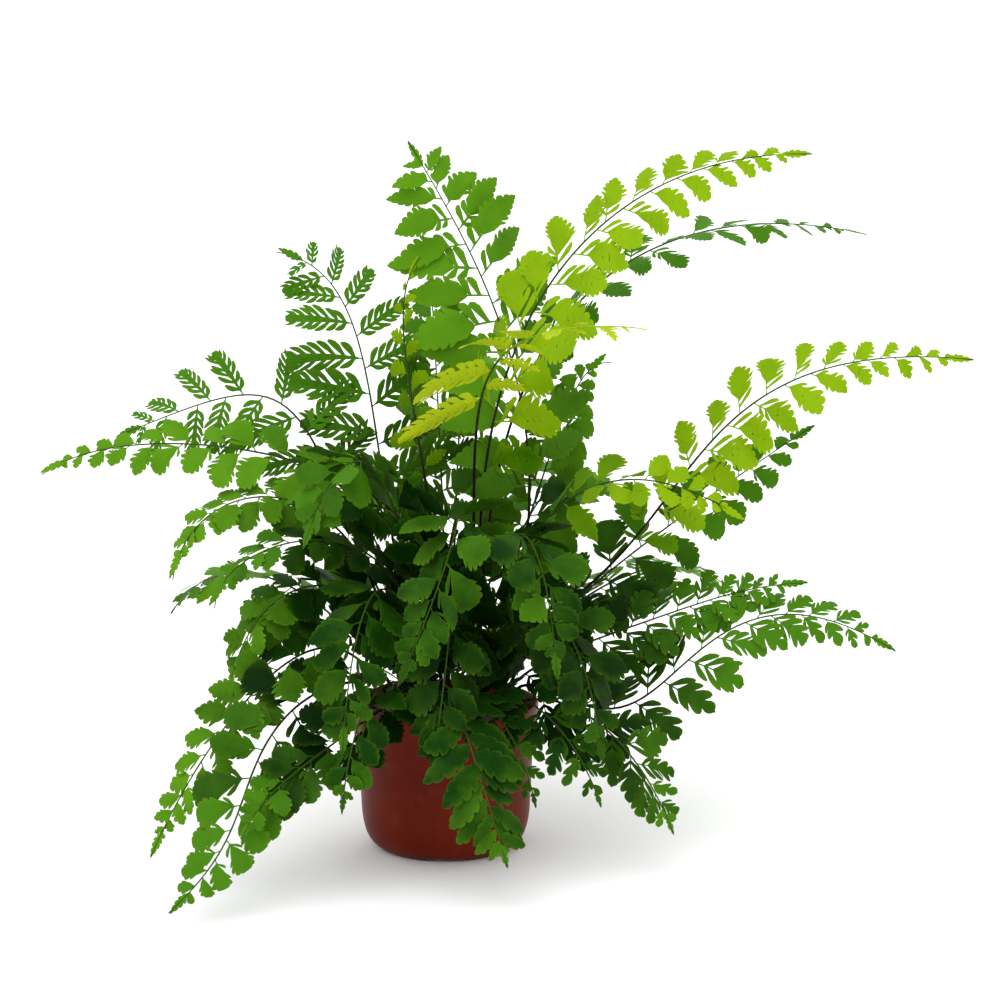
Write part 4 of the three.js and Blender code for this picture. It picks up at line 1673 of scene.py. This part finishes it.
@dataclass
class Pot:
    """The plain pot: a tapered tub with a collar, a round foot with four cuts, and drain holes.

    Profile rows are a radius and a height. Those of the foot, the collar and the lip are measured
    from the foot's radius, the collar's lower edge and the rim, and so are the two heights of the
    step inside the collar. Flat caps close the middle of the base and of the floor inside
    cap_radius, and floor_ring is a ring of points on both.
    """

    height: float = 95
    rim_radius: float = 60.3
    collar_height: float = 30
    collar_lean: float = 1.6
    wall: float = 1.8
    foot_radius: float = 41.5
    floor: float = 4.2
    tub_radius: float = 56.4
    floor_inset: float = 0.5
    floor_ring: float = 20
    cap_radius: float = 0.4
    foot_round: Profile = ((0, 0), (1.7, 0.25), (3.2, 1.2))
    tub: Profile = (
        (46.9, 2.7), (48.8, 4.6), (50.4, 6.9), (51.8, 9.6), (52.9, 13), (53.8, 17), (54.4, 21.2), (54.8, 26),
        (55.6, 43),
    )
    collar_round: Profile = ((0, -4), (0.3, -2.6), (1, -0.9), (1.7, 0.2))
    collar_face: Profile = ((0, 1.5), (0.25, 4))
    collar_inside: tuple[float, float] = (2.5, -3)
    lip_round: Profile = ((0.1, 3.4), (0, 2.6), (0.02, 1.2), (0.3, 0.4), (0.9, 0), (1.6, 0.2), (2, 0.8))
    tub_inside: Profile = ((52.6, 24), (50.6, 14), (48.2, 8.6), (45, 5.6))
    foot_cuts: int = 4
    cut_width: float = 23
    cut_height: float = 2.4
    cut_from: float = 33
    drains: int = 6
    drain_radius: float = 3.5
    drain_circle: float = 28
    facets: int = 176
    sharp: float = 32

    def outside(self) -> list[tuple[float, float]]:
        """Return the outer profile from the foot to the lip, as radius and height."""
        collar = self.height - self.collar_height
        low_collar = self.rim_radius - self.collar_lean
        return [
            *((self.foot_radius + out, up) for out, up in self.foot_round), *self.tub,
            *((self.tub_radius + out, collar + up) for out, up in self.collar_round),
            *((low_collar + out, collar + up) for out, up in self.collar_face),
            *((self.rim_radius - back, self.height - down) for back, down in self.lip_round),
        ]

    def inside(self) -> list[tuple[float, float]]:
        """Return the inner profile from below the lip to the middle of the floor."""
        high, low = (self.height - self.collar_height + up for up in self.collar_inside)
        radii = (self.foot_radius - self.floor_inset, self.floor_ring, self.cap_radius)
        return [
            (self.rim_radius - self.collar_lean - self.wall, high), (self.tub_radius - self.wall, low),
            *self.tub_inside, *((radius, self.floor) for radius in radii),
        ]

    def build(self, material: bpy.types.Material) -> bpy.types.Object:
        """Build the pot.

        Args:
            material: Its finish.

        Returns:
            The piece, which replaces the pot's solid.
        """
        profile = [(self.cap_radius, 0), (self.floor_ring, 0), *self.outside(), *self.inside()]
        piece = turned("plain_pot", profile, self.facets, material, self.sharp)
        for k in range(self.foot_cuts):
            reach = self.rim_radius - self.cut_from
            cut = block((reach, self.cut_width, self.cut_height * 2), (self.cut_from + reach / 2, 0, 0))
            cut_away(piece, cut, k * 2 * math.pi / self.foot_cuts)
        for k in range(self.drains):
            hole = rod(self.drain_radius, self.floor * 3, (self.drain_circle, 0, 0))
            cut_away(piece, hole, (k + 0.5) * 2 * math.pi / self.drains)
        piece.data.set_sharp_from_angle(angle=math.radians(self.sharp))
        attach(piece, "root")
        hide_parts("pot")
        LOG.info("%s: %d faces", piece.name, len(piece.data.polygons))
        return piece


def turned(
    name: str, profile: Sequence[tuple[float, float]], facets: int, material: bpy.types.Material,
    sharp: float,
) -> bpy.types.Object:
    """Turn a closed profile about the upright axis.

    Args:
        name: The piece's name.
        profile: Radius and height of each point, from the base's middle round to the top's.
        facets: How many facets it has all round.
        material: Its finish.
        sharp: The angle past which an edge stays sharp, in degrees.

    Returns:
        The piece.
    """
    turns = all_round(facets)
    radius, height = np.array(profile).T
    around = np.stack([np.cos(turns), np.sin(turns)], -1)
    level = radius[:, None, None] * around
    points = np.concatenate([level, np.broadcast_to(height[:, None, None], (len(profile), facets, 1))], -1)
    run = np.concatenate([[0], np.cumsum(np.hypot(np.diff(radius), np.diff(height)))])
    rows, columns = np.divmod(np.arange((len(profile) - 1) * facets), facets)
    low, high = run[rows] / run[-1], run[rows + 1] / run[-1]
    left, right = columns / facets, (columns + 1) / facets
    corners = ((left, low), (left, high), (right, high), (right, low))
    flat = np.stack([np.stack(corner, -1) for corner in corners], 1)
    sheaf = Sheaf()
    sheaf.add_tube(points, np.zeros(4), flat, (np.array([0.5, 0]), np.array([0.5, 1])), turned_over=True)
    return sheaf.to_object(name, [material], sharp)


def block(size: Point, middle: Point) -> bpy.types.Object:
    """Make a plain block to cut with.

    Args:
        size: Its size.
        middle: Its middle.

    Returns:
        The block.
    """
    bpy.ops.mesh.primitive_cube_add(size=1, location=metres(middle))
    made = bpy.context.object
    made.scale = metres(size)
    return made


def rod(radius: float, height: float, middle: Point) -> bpy.types.Object:
    """Make a plain upright rod to cut with.

    Args:
        radius: Its radius.
        height: Its height.
        middle: Its middle.

    Returns:
        The rod.
    """
    bpy.ops.mesh.primitive_cylinder_add(
        vertices=ROD_SIDES, radius=radius * MM, depth=height * MM, location=metres(middle)
    )
    return bpy.context.object


def cut_away(piece: bpy.types.Object, cutter: bpy.types.Object, turn: float) -> None:
    """Cut a shape out of a piece and remove the cutter.

    Args:
        piece: The piece.
        cutter: The shape.
        turn: How far the cutter is first turned about the upright axis, in radians.
    """
    spot = cutter.location
    cutter.location = (
        spot.x * math.cos(turn) - spot.y * math.sin(turn),
        spot.x * math.sin(turn) + spot.y * math.cos(turn),
        spot.z,
    )
    cutter.rotation_euler.z = turn
    bpy.context.view_layer.update()
    step = piece.modifiers.new("cut", "BOOLEAN")
    step.operation = "DIFFERENCE"
    step.solver = "EXACT"
    step.object = cutter
    bpy.context.view_layer.objects.active = piece
    bpy.ops.object.modifier_apply(modifier=step.name)
    bpy.data.objects.remove(cutter)


@dataclass
class Soil:
    """Potting soil up to below the rim, uneven on top, with crumbs and bits of fibre on it.

    Its side follows the pot's inside up to wall_to below its level, and nothing lies on its outer
    bare_edge. Each of the relief's layers is its scale, its place in the pattern and its share.
    The relief calms down over the calm width, towards the soil's edge. The ranges are what the
    draws of a crumb or a fibre lie between.
    """

    pot: Pot
    level: float = 85
    crown: float = 3
    edge_gap: float = 0.35
    edge_drop: float = 1.5
    edge_inset: float = 1.6
    calm_width: float = 5
    wall_to: float = 6
    cap_radius: float = 0.2
    relief: float = 1.5
    layers: tuple[Point, ...] = ((0.06, 3.1, 1), (0.22, 7.7, 0.7), (0.7, 1.3, 0.45))
    rings: int = 56
    facets: int = 144
    crumbs: int = 420
    crumb_sides: int = 7
    crumb_rings: int = 5
    crumb_sizes: Range = (0.7, 1.9)
    crumb_lumps: Range = (0.78, 1.18)
    crumb_squash: Range = (0.6, 1)
    crumb_widths: Range = (0.7, 1)
    crumb_cap: float = 0.25
    crumb_lift: float = 0.3
    fibres: int = 70
    fibre_sides: int = 5
    fibre_rings: int = 6
    fibre_lengths: Range = (3, 8)
    fibre_radii: Range = (0.22, 0.5)
    fibre_bends: Range = (-0.25, 0.25)
    fibre_tones: Range = (0.4, 1)
    fibre_taper: float = 0.5
    fibre_lift: float = 0.5
    bare_edge: float = 8
    seed: int = 11

    def top(self, radius: float) -> float:
        """Return the height of the soil's top at a distance from the middle, before its relief."""
        share = min(radius / self.pot.rim_radius, 1)
        return self.level + self.crown * (1 - share * share)

    def _relief(self, x: float, y: float) -> float:
        """Return how far the top is raised at a place."""
        parts = (share * noise.noise(Vector((x * scale, y * scale, at))) for scale, at, share in self.layers)
        return self.relief * sum(parts)

    def build(self, material: bpy.types.Material) -> bpy.types.Object:
        """Build the soil.

        Args:
            material: Its finish.

        Returns:
            The piece, which replaces the soil's solid.
        """
        sheaf = Sheaf()
        sheet = MapSheet(3)
        self._add_body(sheaf, sheet)
        draw = np.random.default_rng(self.seed)
        for k in range(self.crumbs):
            self._add_crumb(sheaf, sheet, draw, k)
        for _ in range(self.fibres):
            self._add_fibre(sheaf, sheet, draw)
        piece = sheaf.to_object("potting_soil", [material], sharp=50)
        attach(piece, "root")
        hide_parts("soil")
        LOG.info("%s: %d triangles", piece.name, sheaf.triangles())
        return piece

    def _add_body(self, sheaf: Sheaf, sheet: MapSheet) -> None:
        """Add the body of the soil, from the middle of its base out and over its top.

        Args:
            sheaf: The piece.
            sheet: Its flat map.
        """
        inside = [(r - self.edge_gap, h + self.edge_gap) for r, h in reversed(self.pot.inside())]
        inside = [(max(r, self.cap_radius), h) for r, h in inside if h < self.level - self.wall_to]
        edge = self.pot.rim_radius - self.pot.wall - self.edge_gap - self.edge_inset
        side = [*inside, (edge, self.level - self.edge_drop)]
        radii = [*(r for r, _ in side), *np.linspace(edge, self.cap_radius, self.rings)]
        turns = all_round(self.facets)
        rows = []
        for k, radius in enumerate(radii):
            x, y = radius * np.cos(turns), radius * np.sin(turns)
            if k < len(side):
                z = np.full(self.facets, side[k][1])
            else:
                calm = min(1.0, (edge - radius) / self.calm_width)
                z = np.array([self.top(radius) + calm * self._relief(a, b) for a, b in zip(x, y)])
            rows.append(np.stack([x, y, z], -1))
        points = np.stack(rows)
        ids = np.arange(len(radii) * self.facets).reshape(len(radii), self.facets)
        spots = points.reshape(-1, 3)[grid_faces(ids, around=True)][..., :2]
        below = np.repeat(np.arange(len(radii)) < len(side), self.facets)[: len(spots)]
        flat = np.where(below[:, None, None], sheet.put(SOIL_BELOW, spots), sheet.put(SOIL_TOP, spots))
        ends = (flat[0, -1], flat[-1, -1])
        sheaf.add_tube(points, np.array([0.5, 0, 0, 0]), flat, ends, turned_over=True)

    def _spot(self, draw: np.random.Generator) -> Point:
        """Draw a place on the soil's top."""
        radius = (self.pot.rim_radius - self.bare_edge) * math.sqrt(draw.uniform())
        turn = draw.uniform(0, 2 * math.pi)
        x, y = radius * math.cos(turn), radius * math.sin(turn)
        return x, y, self.top(radius) + self._relief(x, y)

    def _add_crumb(self, sheaf: Sheaf, sheet: MapSheet, draw: np.random.Generator, k: int) -> None:
        """Add one crumb, a small rough lump of a few rings.

        Args:
            sheaf: The piece.
            sheet: Its flat map.
            draw: Where its size and shape come from.
            k: Its number, which spreads its lumps.
        """
        size = draw.uniform(*self.crumb_sizes)
        sides, rings = self.crumb_sides, self.crumb_rings
        tilt = np.linspace(self.crumb_cap, math.pi - self.crumb_cap, rings)[:, None]
        turns = all_round(sides) + k * GOLDEN_TURN
        lumps = draw.uniform(*self.crumb_lumps, (rings, sides))
        squash = draw.uniform(*self.crumb_squash)
        x = size * lumps * np.sin(tilt) * np.cos(turns)
        y = size * lumps * np.sin(tilt) * np.sin(turns) * draw.uniform(*self.crumb_widths)
        z = size * squash * np.cos(tilt) * np.ones(sides)
        points = np.stack([x, y, z], -1) + np.array(self._spot(draw)) + (0, 0, size * self.crumb_lift)
        self._add_lump(sheaf, sheet, points, np.array([draw.uniform(), 0, 0, 0]))

    def _add_fibre(self, sheaf: Sheaf, sheet: MapSheet, draw: np.random.Generator) -> None:
        """Add one bit of fibre that lies on the soil, a thin bent rod.

        Args:
            sheaf: The piece.
            sheet: Its flat map.
            draw: Where its size and shape come from.
        """
        x, y, z = self._spot(draw)
        turn = draw.uniform(0, math.pi)
        length, thick = draw.uniform(*self.fibre_lengths), draw.uniform(*self.fibre_radii)
        steps = np.linspace(-0.5, 0.5, self.fibre_rings)
        bend = draw.uniform(*self.fibre_bends)
        along = np.stack([steps, bend * steps**2 * 2, 0 * steps], -1) * length
        ahead = np.array([math.cos(turn), math.sin(turn), 0])
        beside = np.array([-math.sin(turn), math.cos(turn), 0])
        up = np.array([0, 0, 1])
        centre = along @ np.stack([ahead, beside, up]) + (x, y, z + self.fibre_lift)
        centre[:, 2] += [self.top(math.hypot(a, b)) + self._relief(a, b) - z for a, b in centre[:, :2]]
        turns = all_round(self.fibre_sides)
        ring = np.cos(turns)[:, None] * beside + np.sin(turns)[:, None] * up
        radius = thick * (1 - self.fibre_taper * np.abs(steps * 2) ** 3)
        points = centre[:, None] + ring * radius[:, None, None]
        marks = np.array([draw.uniform(), draw.uniform(*self.fibre_tones), 0, 0])
        self._add_lump(sheaf, sheet, points, marks)

    @staticmethod
    def _add_lump(sheaf: Sheaf, sheet: MapSheet, points: np.ndarray, marks: np.ndarray) -> None:
        """Add rings of points as a closed lump with its faces pointing out.

        Args:
            sheaf: The piece.
            sheet: Its flat map, where lumps share a cell.
            points: The rings, as (ring, side, 3).
            marks: The four marks of the whole lump.
        """
        rings, sides = points.shape[:2]
        spots = points.reshape(-1, 3)
        middle = spots.mean(axis=0)
        first = sheaf.add_points(spots, marks)
        ids = np.arange(rings * sides).reshape(rings, sides)
        for batch in (grid_faces(ids, around=True), cap_faces(ids[0]), cap_faces(ids[-1][::-1])):
            a, b, c = (spots[batch[:, k]] for k in range(3))
            inward = (np.cross(b - a, c - a) * (a - middle)).sum() < 0
            batch = batch[:, ::-1] if inward else batch
            sheaf.add_faces(batch + first, sheet.put(SOIL_LUMPS, spots[batch][..., :2]))


# Studio


@dataclass
class Studio:
    """The pale floor, the soft light and the camera at the photograph's angle.

    The floor's radius and the camera's far clip are in metres.
    """

    camera_place: Point = (35.3, -1772.7, 539.6)
    camera_pitch: float = 10.0
    camera_angle: float = 20.15
    floor_radius: float = 9
    floor_sides: int = 96
    far_clip: float = 100
    sky: float = 1.1
    sun: float = 1.6
    sun_spread: float = 60.0
    sun_turn: tuple[float, float] = (38.0, -28.0)
    rim_light: float = 0.8
    rim_turn: tuple[float, float] = (62.0, 150.0)

    def build(self) -> None:
        """Build the camera first, and then the light and the floor."""
        self._camera()
        self._sky()
        self._sun("key_light", self.sun, self.sun_turn)
        self._sun("rim_light", self.rim_light, self.rim_turn)
        self._floor()

    def _camera(self) -> None:
        """Make the camera and look through it."""
        lens = bpy.data.cameras.new("camera")
        lens.angle = math.radians(self.camera_angle)
        lens.clip_end = self.far_clip
        lens.dof.use_dof = False
        camera = in_scene("camera", lens)
        camera.location = metres(self.camera_place)
        camera.rotation_euler = (math.radians(90 - self.camera_pitch), 0, 0)
        bpy.context.scene.camera = camera

    def _sky(self) -> None:
        """Light the scene evenly with white, and show colours as they are."""
        world = bpy.data.worlds.new("studio")
        world.use_nodes = True
        world.node_tree.nodes["Background"].inputs["Color"].default_value = (1, 1, 1, 1)
        world.node_tree.nodes["Background"].inputs["Strength"].default_value = self.sky
        bpy.context.scene.world = world
        bpy.context.scene.view_settings.view_transform = "Standard"

    def _sun(self, name: str, strength: float, turn: tuple[float, float]) -> None:
        """Add one broad soft light from far away.

        Args:
            name: Its name.
            strength: How strong it is.
            turn: How far it leans from straight down, and the side it comes from, in degrees.
        """
        light = bpy.data.lights.new(name, "SUN")
        light.energy = strength
        light.angle = math.radians(self.sun_spread)
        lean, side = (math.radians(part) for part in turn)
        in_scene(name, light).rotation_euler = (lean, 0, side)

    def _floor(self) -> None:
        """Lay the floor, which isn't part of the object."""
        turns = all_round(self.floor_sides)
        edge = [(self.floor_radius * math.cos(t), self.floor_radius * math.sin(t), 0) for t in turns]
        mesh = bpy.data.meshes.new("studio_floor")
        mesh.from_pydata(edge, [], [list(range(len(edge)))])
        mesh.materials.append(FloorFinish().material())
        floor = in_scene("studio_floor", mesh)


def main() -> None:
    """Build the studio, the pot, the soil and every frond."""
    logging.basicConfig(level=logging.INFO, format="%(name)s: %(message)s")
    Studio().build()
    pot = Pot()
    pot.build(PotFinish().material())
    soil = Soil(pot)
    soil.build(SoilFinish().material())
    leaves = {age: finish.material() for age, finish in LEAF_FINISHES.items()}
    stem, young_stem = STEM_FINISH.material(), YOUNG_STEM_FINISH.material()
    fronds = [Frond(spec, k, soil.top(math.hypot(*spec.root))) for k, spec in enumerate(FRONDS)]
    crowd = Crowd()
    for grown in fronds:
        grown.claim_line(crowd)
    for grown in fronds:
        age = grown.spec.age
        grown.build(crowd, [leaves[age], young_stem if age is Age.YOUNG else stem])


if __name__ == "__main__":
    main()
